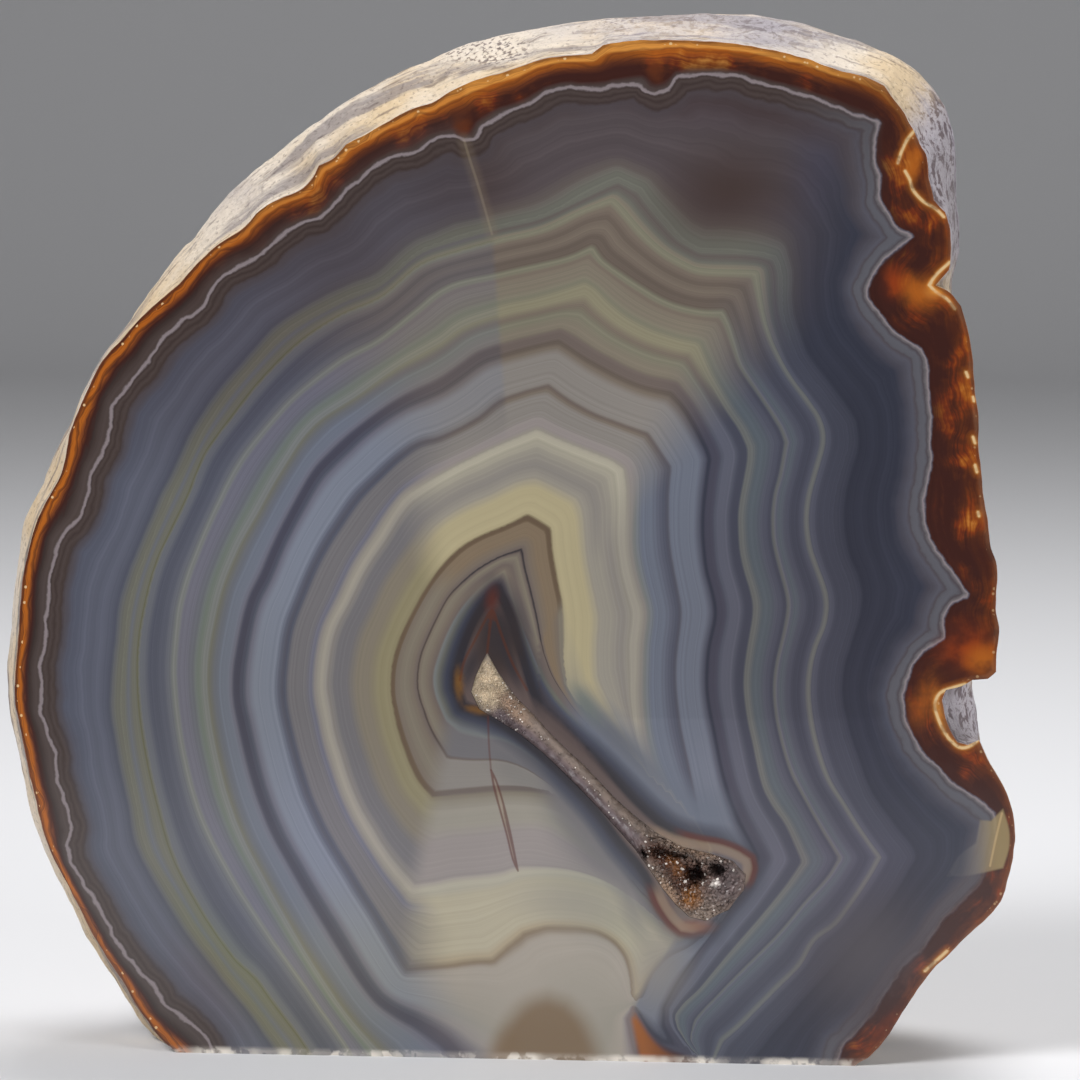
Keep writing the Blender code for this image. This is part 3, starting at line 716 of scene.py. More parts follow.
def fine_relief(place, grain):
    """Height of the skin's fine grain: small knobs, crumbs and pinholes."""
    knobs = noise.noise(place / (3.4 * MM)) * 0.75
    crumbs = noise.noise(place / (1.5 * MM) + Vector((3.0, 9.0, 4.0))) * 0.45
    nearest = noise.voronoi(place / (4.5 * MM))[0][0]
    pinholes = smooth_step((0.3 - nearest) / 0.3) * 1.5
    return (knobs + crumbs - pinholes) * grain


def narrowing(depth):
    """Share of its widest outline that the body keeps at a depth."""
    beyond = max(0.0, depth - BODY_START) / (STONE_DEPTH - BODY_START)
    return max(0.0, 1.0 - beyond ** DEPTH_POWER) ** SIDE_POWER


def skin_point(outline, body, share, depth, grain):
    """Place on the rough skin at a share of the way round and a depth."""
    outward = (outline.evened(share) - body.centre).normalized()
    widest = body.towards(outward)
    flat = outline.at(share).lerp(widest, smooth_step(depth / BODY_START))
    flat = body.centre + (flat - body.centre) * narrowing(depth)
    place = Vector((flat.x, depth, flat.y))
    lean = smooth_step(1.0 - narrowing(depth) ** 2)
    normal = Vector((outward.x * (1.0 - lean), lean, outward.y * (1.0 - lean))).normalized()
    rough = skin_relief(place) * smooth_step((depth - SKIN_START) / SKIN_FULL)
    return place + normal * (rough + fine_relief(place, grain) * smooth_step(depth / (5 * MM)))


def ring_depths():
    """Depths of the rings of the skin, about one step apart along it."""
    radius = CENTRE_HEIGHT
    steps = 4000
    depths = []
    travelled = 0.0
    last = (radius, 0.0)
    for step in range(1, steps):
        depth = STONE_DEPTH * math.sin(step / steps * math.pi / 2.0)
        here = (radius * narrowing(depth), depth)
        travelled += math.dist(here, last)
        last = here
        if travelled >= SKIN_STEP and here[0] > 2 * SKIN_STEP:
            depths.append(depth)
            travelled = 0.0
    return depths


def stitch(bm, first, second):
    """Join two rings of verts that may hold different counts with triangles."""
    one, two = 0, 0
    while one < len(first) or two < len(second):
        vert_one = first[one % len(first)][1]
        vert_two = second[two % len(second)][1]
        next_one = first[(one + 1) % len(first)][0] + (one + 1) // len(first)
        next_two = second[(two + 1) % len(second)][0] + (two + 1) // len(second)
        if two >= len(second) or (one < len(first) and next_one <= next_two):
            bm.faces.new((vert_one, first[(one + 1) % len(first)][1], vert_two))
            one += 1
        else:
            bm.faces.new((vert_one, second[(two + 1) % len(second)][1], vert_two))
            two += 1


def hollow_stations(steps):
    """Stations along the hollow: its middle, half its width, and its depth."""
    stations = []
    for here, there in zip(HOLLOW_PAIRS, HOLLOW_PAIRS[1:]):
        for step in range(steps):
            part = step / steps
            left = on_face(here[0]).lerp(on_face(there[0]), part)
            right = on_face(here[1]).lerp(on_face(there[1]), part)
            depth = (here[2] + (there[2] - here[2]) * part) * MM
            stations.append((left.lerp(right, 0.5), (right - left) * 0.5, depth))
    left, right, depth_mm = HOLLOW_PAIRS[-1]
    left, right = on_face(left), on_face(right)
    stations.append((left.lerp(right, 0.5), (right - left) * 0.5, depth_mm * MM))
    return stations


def hollow_rows(steps, across, inset, sunk, raised):
    """Rows of points across the hollow: drawn in from its sides by inset,
    sunk below the face at the mouth, and raised off its floor."""
    rows = []
    for middle, half, full_depth in hollow_stations(steps):
        reach = half.length
        half = half * ((reach - min(inset, reach * CRUST_SHARE)) / reach)
        depth = max(full_depth - sunk - raised, full_depth * (1.0 - CRUST_SHARE) - sunk)
        row = []
        for number in range(across + 1):
            turn = math.pi * number / across
            flat = middle - half * math.cos(turn)
            rise = math.sin(turn) ** HOLLOW_ROUNDING if 0 < number < across else 0.0
            row.append(Vector((flat.x, sunk + depth * rise, flat.y)))
        rows.append(row)
    return rows


def hollow_ends(inset, sunk):
    """Points that close the rows at the narrow tip and at the wide end."""
    tip, end = on_face(HOLLOW_TIP), on_face(HOLLOW_END)
    stations = hollow_stations(1)
    tip += (stations[0][0] - tip).normalized() * inset
    end += (stations[-1][0] - end).normalized() * inset
    return Vector((tip.x, sunk, tip.y)), Vector((end.x, sunk, end.y))


def add_hollow(bm, point_rows, inset, sunk):
    """One surface of the hollow: its quads and the loop round its mouth."""
    rows = [[bm.verts.new(point) for point in row] for row in point_rows]
    tip, end = [bm.verts.new(point) for point in hollow_ends(inset, sunk)]
    quads = []
    for row_a, row_b in zip(rows, rows[1:]):
        for number in range(len(row_a) - 1):
            corner = (row_a[number], row_a[number + 1], row_b[number + 1], row_b[number])
            quads.append(bm.faces.new(corner))
    for number in range(len(rows[0]) - 1):
        bm.faces.new((tip, rows[0][number + 1], rows[0][number]))
        bm.faces.new((end, rows[-1][number], rows[-1][number + 1]))
    mouth = [tip] + [row[-1] for row in rows] + [end] + [row[0] for row in reversed(rows)]
    return quads, mouth


def face_lines():
    """Places on the face of the lines that the mesh follows, closed ones first."""
    closed = [QUARTZ_EDGE, WEDGE, DOME, WINDOW, RED_SLIVER]
    opened = CREAM_THREADS + QUARTZ_RAYS + [RED_CRACK, YELLOW_CRACK, WINDOW_CREASE, SLIVER_MIDDLE]
    return ([(smooth_path(line, 5.0, True), True) for line in closed]
            + [(smooth_path(line, 4.0, False, math.radians(75)), False) for line in opened])


def spaced_grid(low, high, step):
    """Points of a grid of equal triangles over a rectangle."""
    rows = np.arange(low[1], high[1], step * math.sqrt(0.75))
    points = []
    for number, height in enumerate(rows):
        across = np.arange(low[0] + 0.5 * step * (number % 2), high[0], step)
        points.append(np.column_stack((across, np.full(len(across), height))))
    return np.concatenate(points)


def fill_flat(rings, extra, grid_step, keep_low):
    """Triangles between closed rings of flat points, over a grid of inner points: the
    points in order, rings first, and the corners of each triangle."""
    points = [point for ring in rings for point in ring]
    edges = []
    start = 0
    for ring in rings:
        edges += [(start + n, start + (n + 1) % len(ring)) for n in range(len(ring))]
        start += len(ring)
    for path, closed in extra:
        edges += [(start + n, start + n + 1) for n in range(len(path) - 1)]
        edges += [(start + len(path) - 1, start)] if closed else []
        points += [tuple(point) for point in path]
        start += len(path)
    fixed = np.array([tuple(point) for point in points])
    outer = np.array([tuple(point) for point in rings[0]])
    grid = spaced_grid(outer.min(0), outer.max(0), grid_step)
    grid = grid[(grid[:, 1] > keep_low) & inside(outer, grid)]
    for ring in rings[1:]:
        grid = grid[~inside(np.array([tuple(point) for point in ring]), grid)]
    cells = {}
    for point in fixed:
        cells.setdefault((int(point[0] // grid_step), int(point[1] // grid_step)), []).append(point)
    room = (0.5 * grid_step) ** 2
    kept = []
    for point in grid:
        column, row = int(point[0] // grid_step), int(point[1] // grid_step)
        near = [other for i in (-1, 0, 1) for j in (-1, 0, 1)
                for other in cells.get((column + i, row + j), ())]
        if all((other[0] - point[0]) ** 2 + (other[1] - point[1]) ** 2 > room for other in near):
            kept.append(point)
    every = [Vector(point) / MM for point in list(fixed) + kept]
    spots, _, corners, origins, _, _ = geometry.delaunay_2d_cdt(every, edges, [], 0, 1e-7)
    flat = np.array([tuple(spot) for spot in spots]) * MM
    middles = np.array([flat[list(face)].mean(0) for face in corners])
    wanted = inside(outer, middles)
    for ring in rings[1:]:
        wanted &= ~inside(np.array([tuple(point) for point in ring]), middles)
    return flat, [face for face, good in zip(corners, wanted) if good], origins


def fill_face(bm, rim, mouth):
    """Close the front between the rim and the mouth of the hollow with a fine flat mesh."""
    rings = [[(vert.co.x, vert.co.z) for vert in ring] for ring in (rim, mouth)]
    lines = []
    for path, closed in face_lines():
        places = np.array([tuple(on_face(point)) for point in path])
        lines.append((places[places[:, 1] > FACE_FOOT], closed and places[:, 1].min() > FACE_FOOT))
    flat, corners, origins = fill_flat(rings, lines, FACE_STEP, FACE_FOOT)
    known = rim + mouth
    verts = []
    for spot, sources in zip(flat, origins):
        old = [number for number in sources if number < len(known)]
        verts.append(known[old[0]] if old else bm.verts.new((spot[0], 0.0, spot[1])))
    for face in corners:
        trio = [verts[number] for number in face]
        if len(set(trio)) == 3:
            bm.faces.new(trio)


def boundary_loops(bm):
    """Closed loops of verts along the open edges of a mesh."""
    edges = {edge for edge in bm.edges if edge.is_boundary}
    loops = []
    while edges:
        edge = edges.pop()
        loop = [edge.verts[0], edge.verts[1]]
        while True:
            onward = [item for item in loop[-1].link_edges if item in edges]
            if not onward:
                break
            edges.discard(onward[0])
            loop.append(onward[0].other_vert(loop[-1]))
        if loop[0] == loop[-1]:
            loop.pop()
        loops.append(loop)
    return loops


def cut_base(bm):
    """Saw the nodule flat at z = 0 and close the cut with a flat mesh."""
    for vert in bm.verts:
        if abs(vert.co.z) < 0.25 * MM:
            vert.co.z = 0.0
    bmesh.ops.bisect_plane(bm, geom=bm.verts[:] + bm.edges[:] + bm.faces[:], dist=1e-6,
                           plane_co=(0, 0, 0), plane_no=(0, 0, -1), clear_outer=True)
    rim = [vert for vert in bm.verts if vert.is_boundary]
    bmesh.ops.remove_doubles(bm, verts=rim, dist=0.12 * MM)
    loops = boundary_loops(bm)
    for loop in loops:
        if len(loop) < 8:
            bm.faces.new(loop)
    before = set(bm.faces)
    for loop in loops:
        if len(loop) < 8:
            continue
        ring = [(vert.co.x, vert.co.y) for vert in loop]
        flat, corners, origins = fill_flat([ring], [], BASE_STEP, -1.0)
        verts = []
        for spot, sources in zip(flat, origins):
            old = [number for number in sources if number < len(loop)]
            verts.append(loop[old[0]] if old else bm.verts.new((spot[0], spot[1], 0.0)))
        for face in corners:
            trio = [verts[number] for number in face]
            if len(set(trio)) == 3:
                bm.faces.new(trio)
    return [face for face in bm.faces if face not in before]


def chip_edge(bm, size):
    """Break small chips out of the sharp edge between the face and the sawn base, and
    note on each vert how much of the chip reaches it."""
    chip = bm.verts.layers.float["chip"]
    for vert in bm.verts:
        if vert.co.z < 1.4 * MM and vert.co.y < 1e-6:
            reach = smooth_step(noise.noise(vert.co / (2.6 * MM)) * 2.0 - 0.1)
            reach *= smooth_step(0.5 + noise.noise(vert.co / (17 * MM)) * 1.6)
            vert[chip] = reach * smooth_step(1.0 - vert.co.z / (0.3 * MM + 1.1 * MM * reach))
            if vert.co.z < 1e-6:
                vert.co.y += size * reach


def linear(red, green, blue):
    """A colour as seen on a screen, in the linear values that Blender works in."""
    return tuple(((part + 0.055) / 1.055) ** 2.4 if part > 0.04045 else part / 12.92
                 for part in (red, green, blue))


def tint(label, note, red, green, blue):
    """Colour property, given as it looks on a screen."""
    return FloatVectorProperty(name=label, description=note, subtype="COLOR", size=3,
                               min=0.0, max=1.0, default=linear(red, green, blue))


# Colours of the face: a note, and red, green and blue as seen on a screen
AGATE_COLOURS = {
    "rind_tan": ("Outside of the thick rind on the right", 0.56, 0.38, 0.27),
    "rind_orange": ("Glowing orange-brown rind", 0.62, 0.34, 0.10),
    "ember": ("Red-orange glow of the rind", 0.50, 0.20, 0.07),
    "amber": ("Brightest line of the rind at the top", 0.80, 0.54, 0.24),
    "carnelian": ("Red-brown rind", 0.42, 0.22, 0.11),
    "rust": ("Darker red-brown rind", 0.33, 0.16, 0.08),
    "maroon": ("Darkest rind", 0.21, 0.10, 0.08),
    "blood": ("Iron stain round the quartz", 0.32, 0.16, 0.13),
    "terracotta": ("Paler iron stain below the hollow", 0.44, 0.26, 0.19),
    "dark_umber": ("Dark zone of the left rind", 0.20, 0.16, 0.15),
    "umber": ("Dark line beside the white line", 0.27, 0.23, 0.22),
    "white_line": ("Wavy white line inside the rind", 0.51, 0.47, 0.48),
    "dark_mauve": ("Darkest band of the top", 0.25, 0.21, 0.21),
    "mauve": ("Purple-brown bands of the top", 0.29, 0.26, 0.27),
    "pale_mauve": ("Where the top turns lighter", 0.35, 0.32, 0.31),
    "stone_beige": ("Darker beige bands", 0.43, 0.39, 0.35),
    "beige": ("Beige bands", 0.46, 0.43, 0.38),
    "pale_olive": ("Light olive bands", 0.45, 0.44, 0.38),
    "bright_olive": ("The clearest olive line", 0.50, 0.48, 0.40),
    "olive_line": ("Dark olive line of the left", 0.35, 0.35, 0.28),
    "olive_grey": ("Greyed olive line", 0.38, 0.38, 0.35),
    "olive_yellow": ("Left of the middle", 0.50, 0.47, 0.37),
    "sage": ("Green-grey bands of the left", 0.38, 0.41, 0.39),
    "brown_taupe": ("Brown bands of the top", 0.37, 0.33, 0.30),
    "dark_tan": ("Dark line round the middle", 0.37, 0.31, 0.25),
    "gold_cream": ("Yellow-cream middle", 0.63, 0.59, 0.47),
    "cream": ("Cream line round the middle", 0.61, 0.59, 0.53),
    "cream_grey": ("Greyed cream", 0.54, 0.52, 0.48),
    "cream_yellow": ("Lightest zone of the lower cell", 0.63, 0.60, 0.52),
    "yellow_tan": ("Foot of the lower cell", 0.60, 0.55, 0.46),
    "warm_grey": ("Grey bands of the top", 0.49, 0.47, 0.45),
    "taupe": ("Brown-grey lines", 0.39, 0.35, 0.33),
    "tan": ("Tan round the quartz", 0.54, 0.46, 0.38),
    "tan_line": ("Thin tan lines", 0.46, 0.40, 0.33),
    "lilac_tan": ("Below the lower cell", 0.58, 0.55, 0.51),
    "soft_purple": ("Soft purple-grey bands", 0.53, 0.50, 0.49),
    "mauve_line": ("Purple line at the foot", 0.43, 0.39, 0.39),
    "purple_grey": ("Purple-grey bands", 0.40, 0.39, 0.40),
    "plum_grey": ("Thin inner plum line", 0.30, 0.30, 0.34),
    "plum": ("Strong plum line", 0.25, 0.25, 0.30),
    "lavender": ("Lavender grey", 0.38, 0.38, 0.43),
    "light_blue": ("Light blue-grey band", 0.43, 0.45, 0.50),
    "pale_grey": ("Pale grey lines", 0.42, 0.43, 0.43),
    "grey": ("Grey bands", 0.36, 0.37, 0.40),
    "slate_blue": ("Blue-grey bands of the left", 0.32, 0.33, 0.38),
    "light_slate": ("Blue-grey bands of the right", 0.38, 0.40, 0.45),
    "pale_slate": ("Light lines of the right", 0.36, 0.37, 0.37),
    "teal_grey": ("Green-grey bands of the right", 0.30, 0.33, 0.36),
    "slate": ("Slate bands", 0.29, 0.30, 0.35),
    "warm_slate": ("Beside the white line on the right", 0.28, 0.26, 0.28),
    "dark_slate": ("Dark bands of the right", 0.24, 0.25, 0.30),
    "navy": ("Darkest zone of the right", 0.19, 0.20, 0.25),
    "ink": ("Near-black lines round the quartz", 0.17, 0.16, 0.18),
    "smoky": ("Smoky brown", 0.24, 0.19, 0.18),
    "quartz_grey": ("Brown-grey quartz of the groove", 0.34, 0.29, 0.28),
    "gold_brown": ("Golden brown stain", 0.42, 0.29, 0.13),
    "dome_brown": ("Olive-brown dome at the base", 0.43, 0.35, 0.26),
    "wedge_orange": ("Orange wedge at the base", 0.56, 0.32, 0.10),
    "window_yellow": ("Glassy yellow break on the right", 0.54, 0.47, 0.33),
    "thread_cream": ("Cream threads in the rind", 0.80, 0.68, 0.50),
    "chip_white": ("Bruised white chips", 0.85, 0.82, 0.78),
}


class AgateColours(PropertyGroup):
    """Colours of the bands of the polished face."""
    __annotations__ = {name: tint(name.replace("_", " ").capitalize(), *row)
                       for name, row in AGATE_COLOURS.items()}


class StoneSettings(PropertyGroup):
    """Sizes and finish of the stone."""
    chip_size: FloatProperty(
        name="Chip size", description="How far the chips of the base edge reach in",
        default=0.5 * MM, min=0.0, max=2 * MM, unit="LENGTH")
    grain: FloatProperty(
        name="Skin grain", description="Height of the fine grain of the rough skin",
        default=0.28 * MM, min=0.0, max=1 * MM, unit="LENGTH")
    gloss: FloatProperty(
        name="Polish roughness", description="Roughness of the polished face",
        default=0.16, min=0.0, max=1.0, subtype="FACTOR")
    laminae: FloatProperty(
        name="Fine laminae", description="Contrast of the finest growth lines",
        default=0.125, min=0.0, max=1.0, subtype="FACTOR")


class CrustSettings(PropertyGroup):
    """Sizes and colours of the druse."""
    crystal_count: IntProperty(
        name="Crystals", description="How many quartz points stand on the crust",
        default=2600, min=100, max=6000)
    crystal_size: FloatProperty(
        name="Crystal size", description="Width of a middling quartz point",
        default=0.40 * MM, min=0.1 * MM, max=2 * MM, unit="LENGTH")
    cream: tint("Druse cream", "Sugary druse of the tip", 0.74, 0.67, 0.57)
    tan: tint("Druse tan", "Pale edges of the druse", 0.58, 0.48, 0.40)
    # Taupe and dusk are the lit and shaded sides of the groove: dusk is painted shade on its lower
    # side
    taupe: tint("Druse taupe", "Upper side of the groove", 0.50, 0.44, 0.40)
    dusk: tint("Druse dusk", "Lower side of the groove", 0.36, 0.31, 0.32)
    brown: tint("Druse brown", "Brown druse before the holes", 0.28, 0.16, 0.11)
    amber: tint("Druse amber", "Iron-stained druse of the wide end", 0.50, 0.31, 0.10)
    shadow: tint("Druse shadow", "Dark holes of the wide end", 0.14, 0.08, 0.08)
    # Sparkle is the colour of the painted glints on single crystals and on one small spot
    sparkle: tint("Druse sparkle", "Clear bright points", 0.93, 0.90, 0.87)


class SkinColours(PropertyGroup):
    """Colours of the rough skin and the sawn base."""
    cream: tint("Skin cream", "Cream skin of the upper left", 0.80, 0.71, 0.58)
    lilac: tint("Skin lilac", "Grey-lilac patches", 0.46, 0.43, 0.44)
    white: tint("Skin white", "Chalky white patches", 0.83, 0.78, 0.72)
    net: tint("Skin network", "Lilac-white network", 0.72, 0.70, 0.74)
    brown: tint("Skin brown", "Brown cracks and specks", 0.32, 0.25, 0.24)
    dusk: tint("Skin dusk", "Purple-grey hollows of the network", 0.36, 0.31, 0.36)
    sawn: tint("Sawn grey", "Dull sawn base", 0.50, 0.48, 0.46)


class StageSettings(PropertyGroup):
    """Floor and light."""
    floor: tint("Floor", "Plain pale floor", 0.86, 0.86, 0.87)
    light: FloatProperty(
        name="Light", description="Strength of the studio lights",
        default=1.0, min=0.0, max=10.0, subtype="FACTOR")


def quarter_shares(picture):
    """Shares of the top, the right side and the lower cell at each picture point."""
    away = picture - np.array((540.0, 640.0))
    angle = np.degrees(np.arctan2(-away[:, 1], away[:, 0]))
    angle = np.where(angle < -90, angle + 360, angle)
    reach = np.hypot(away[:, 0], away[:, 1])
    turn = np.interp(reach, (150.0, 430.0, 520.0), (64.0, 60.0, 64.0))
    left_side = np.interp(reach, (120.0, 220.0, 450.0), (160.0, 132.0, 138.0))
    right = ease((turn + 4.0 - angle) / 18.0)
    top = ease((left_side - angle) / 24.0)
    step = ease((picture[:, 0] - np.interp(picture[:, 1], (142, 185, 232, 420),
                                           (465, 478, 492, 506))) / 5.0 + 0.5)
    top *= 1.0 - 0.4 * (1.0 - step) * ease((reach - 190.0) / 60.0)
    soft = np.where(picture[:, 0] < 500, 26.0, 7.0)
    soft += 44.0 * ease((picture[:, 1] - 880.0) / 60.0) * (picture[:, 0] < 540)
    lower = ease(depth_within(LOWER_CELL, picture) / soft + np.where(soft > 30, 0.25, 0.5))
    return top, right * (1.0 - lower), lower


def spot_reach(picture, centre, radii, turn=0.0):
    """Distance of each picture point from the centre of a spot, 1 at its edge."""
    away = picture - np.array(centre)
    swing = math.radians(turn)
    along = away[:, 0] * math.cos(swing) + away[:, 1] * math.sin(swing)
    aside = away[:, 1] * math.cos(swing) - away[:, 0] * math.sin(swing)
    return np.hypot(along / radii[0], aside / radii[1])


def spot_colours(picture, spots, colours):
    """Colour and share of the soft spots at each picture point, later ones on top."""
    total = np.zeros((len(picture), 4))
    for name, centre, radii, turn, soft, share in spots:
        cover = ease((1.0 - spot_reach(picture, centre, radii, turn)) / soft)[:, None] * share
        under = total[:, 3:] * (1.0 - cover)
        colour = np.array(tuple(getattr(colours, name)))
        total[:, :3] = (total[:, :3] * under + colour * cover) / np.maximum(under + cover, 1e-6)
        total[:, 3:] = under + cover
    return total


def veil_light(picture):
    """Share of red, green and blue light that the veils leave at each picture point, with a painted
    reflection: a faint lighter strip below a level edge across the middle right of the face.
    """
    light = np.ones((len(picture), 4))
    for centre, radii, turn, soft, share in VEILS:
        cover = ease((1.0 - spot_reach(picture, centre, radii, turn)) / soft)[:, None]
        light[:, :3] *= 1.0 + (np.array(share) - 1.0) * cover
    # Painted reflection: below a level edge across the middle right, the face is made up to 8 per
    # cent lighter
    below = ease((picture[:, 1] - 717.0) / 4.0) * ease((picture[:, 0] - 590.0) / 30.0)
    below *= ease((850.0 - picture[:, 1]) / 110.0) * ease((930.0 - picture[:, 0]) / 60.0)
    light[:, :3] *= 1.0 + 0.08 * below[:, None]
    return light


def vert_places(mesh):
    """Places of the verts of a mesh as an array."""
    places = np.empty(len(mesh.vertices) * 3)
    mesh.vertices.foreach_get("co", places)
    return places.reshape(-1, 3)


def read_values(mesh, name):
    """Numbers that a mesh stores at its verts under a name."""
    values = np.empty(len(mesh.vertices))
    mesh.attributes[name].data.foreach_get("value", values)
    return values


def set_values(mesh, name, values):
    """Store one number for each vert under a name."""
    layer = mesh.attributes.new(name, "FLOAT", "POINT")
    layer.data.foreach_set("value", np.ascontiguousarray(values, dtype=np.float32))


def set_colours(mesh, name, values):
    """Store one colour for each vert under a name."""
    layer = mesh.attributes.new(name, "FLOAT_COLOR", "POINT")
    layer.data.foreach_set("color", np.ascontiguousarray(values, dtype=np.float32).ravel())


def path_distance(lines, picture):
    """Distance of each picture point from the nearest of several open lines."""
    paths = [smooth_path(line, 4.0, False, math.radians(75)) for line in lines]
    return np.minimum.reduce([distance_to(path, picture, False) for path in paths])


def base_depths(mesh, places, sawn):
    """Distance in millimetres of each vert of the base from the edge of the base."""
    ends = np.empty(len(mesh.edges) * 2, dtype=int)
    mesh.edges.foreach_get("vertices", ends)
    ends = ends.reshape(-1, 2)
    half_out = sawn[ends[:, 0]] != sawn[ends[:, 1]]
    rim = np.unique(np.where(sawn[ends[half_out, 0]], ends[half_out, 0], ends[half_out, 1]))
    away = places[sawn][:, None, :2] - places[rim][None, :, :2]
    return np.sqrt((away ** 2).sum(2).min(1)) / MM


def paint_stone(mesh, colours):
    """Work out the pattern of the stone at every vert and store it in the mesh."""
    places = vert_places(mesh)
    pocket = read_values(mesh, "pocket") > 0.5
    front = (places[:, 1] < 0.9 * MM) | pocket
    picture = to_picture(places[front])
    edge = smooth_path(FACE_EDGE + SAWN_OFF, 7.0, True)

    def keep(name, values, fill):
        """Store the face's values, with one value for every other vert."""
        whole = np.full(len(places), float(fill))
        whole[front] = values
        set_values(mesh, name, whole)

    keep("band", band_field(picture), 0.0)
    keep("rim", distance_to(edge, picture), 0.0)
    top, right, lower = quarter_shares(picture)
    keep("top_share", top, 0.0)
    keep("right_share", right, 0.0)
    keep("lower_share", lower, 0.0)
    for name, outline in (("white", closed_below(WHITE_LINE, 86)), ("quartz", QUARTZ_EDGE),
                          ("wedge", WEDGE), ("dome", DOME), ("window", WINDOW),
                          ("sliver", RED_SLIVER)):
        keep(name, depth_within(outline, picture), -100.0)
    for name, lines in (("thread", CREAM_THREADS), ("red_crack", [RED_CRACK]),
                        ("ray", QUARTZ_RAYS), ("yellow_crack", [YELLOW_CRACK]),
                        ("crease", [WINDOW_CREASE])):
        keep(name, path_distance(lines, picture), 100.0)
    # Veils and the painted reflection strip, stored for the shader
    veil = np.ones((len(places), 4))
    veil[front] = veil_light(picture)
    set_colours(mesh, "veil", veil)
    spots = np.zeros((len(places), 4))
    spots[front] = spot_colours(picture, SPOTS, colours)
    set_values(mesh, "spot_share", spots[:, 3])
    spots[:, 3] = 1.0
    set_colours(mesh, "spot", spots)
    kept = np.array([narrowing(depth) for depth in places[:, 1]])
    way = np.column_stack((places[:, 0], places[:, 1] + (1.0 - kept) * STONE_DEPTH, places[:, 2]))
    mesh.attributes.new("way", "FLOAT_VECTOR", "POINT").data.foreach_set(
        "vector", way.astype(np.float32).ravel())
    sawn = places[:, 2] < 1e-6
    edges = np.zeros(len(places))
    edges[sawn] = base_depths(mesh, places, sawn)
    set_values(mesh, "rim_base", edges)
    picture = to_picture(places)
    for name, spots in (("chalk", CHALK_SPOTS), ("network", NETWORK_SPOTS)):
        cover = [ease((1.0 - spot_reach(picture, centre, radii)) / 0.7) * share
                 for centre, radii, share in spots]
        fade = ease((34 * MM - places[:, 1]) / (16 * MM))
        set_values(mesh, name, np.maximum.reduce(cover) * fade)


def lay_out_map(mesh, kinds, shares):
    """Lay the surface out flat: the face in the largest square, the skin in a strip
    beside and below it, and the base at the end of the strip."""
    face_side, strip = 0.775, 0.215
    scale = face_side / STONE_HIGH.z
    layer = mesh.uv_layers.new(name="OFBake")
    verts = np.empty(len(mesh.loops), dtype=int)
    mesh.loops.foreach_get("vertex_index", verts)
    places = vert_places(mesh)[verts]
    kind = np.repeat(kinds, 3)
    side = places[:, 0].min()
    flat = np.column_stack(((places[:, 0] - side) * scale,
                            places[:, 2] * scale + (1.0 - face_side)))
    corner = shares[verts, 0].reshape(-1, 3).copy()
    wraps = np.ptp(corner, axis=1) > 0.5
    corner[wraps] = np.where(corner[wraps] < 0.5, corner[wraps] + 1.0, corner[wraps])
    travel = corner * 1.9
    on_column = (travel.mean(1) < 0.99).repeat(3)
    travel = travel.ravel()
    depth = shares[verts, 1] * strip * 0.98
    column = np.column_stack((1.0 - depth, 1.0 - travel))
    row = np.column_stack((travel - 0.98, depth))
    skin = kind == 1
    flat[skin & on_column] = column[skin & on_column]
    flat[skin & ~on_column] = row[skin & ~on_column]
    base = kind == 2
    flat[base, 0] = (places[base, 0] - side) * 0.3 * scale
    flat[base, 1] = 1.0 - 0.005 - places[base, 1] * 0.3 * scale
    layer.data.foreach_set("uv", np.clip(flat, 0.0, 1.0).astype(np.float32).ravel())


def new_object(name, mesh):
    """Object of a mesh, linked to the scene."""
    thing = bpy.data.objects.new(name, mesh)
    bpy.context.scene.collection.objects.link(thing)
    return thing


def settle(mesh):
    """Move a mesh from the view's own frame to where the stone stands."""
    mesh.transform(Matrix.Translation((MIDDLE_ASIDE, FACE_PLANE, 0.0)))


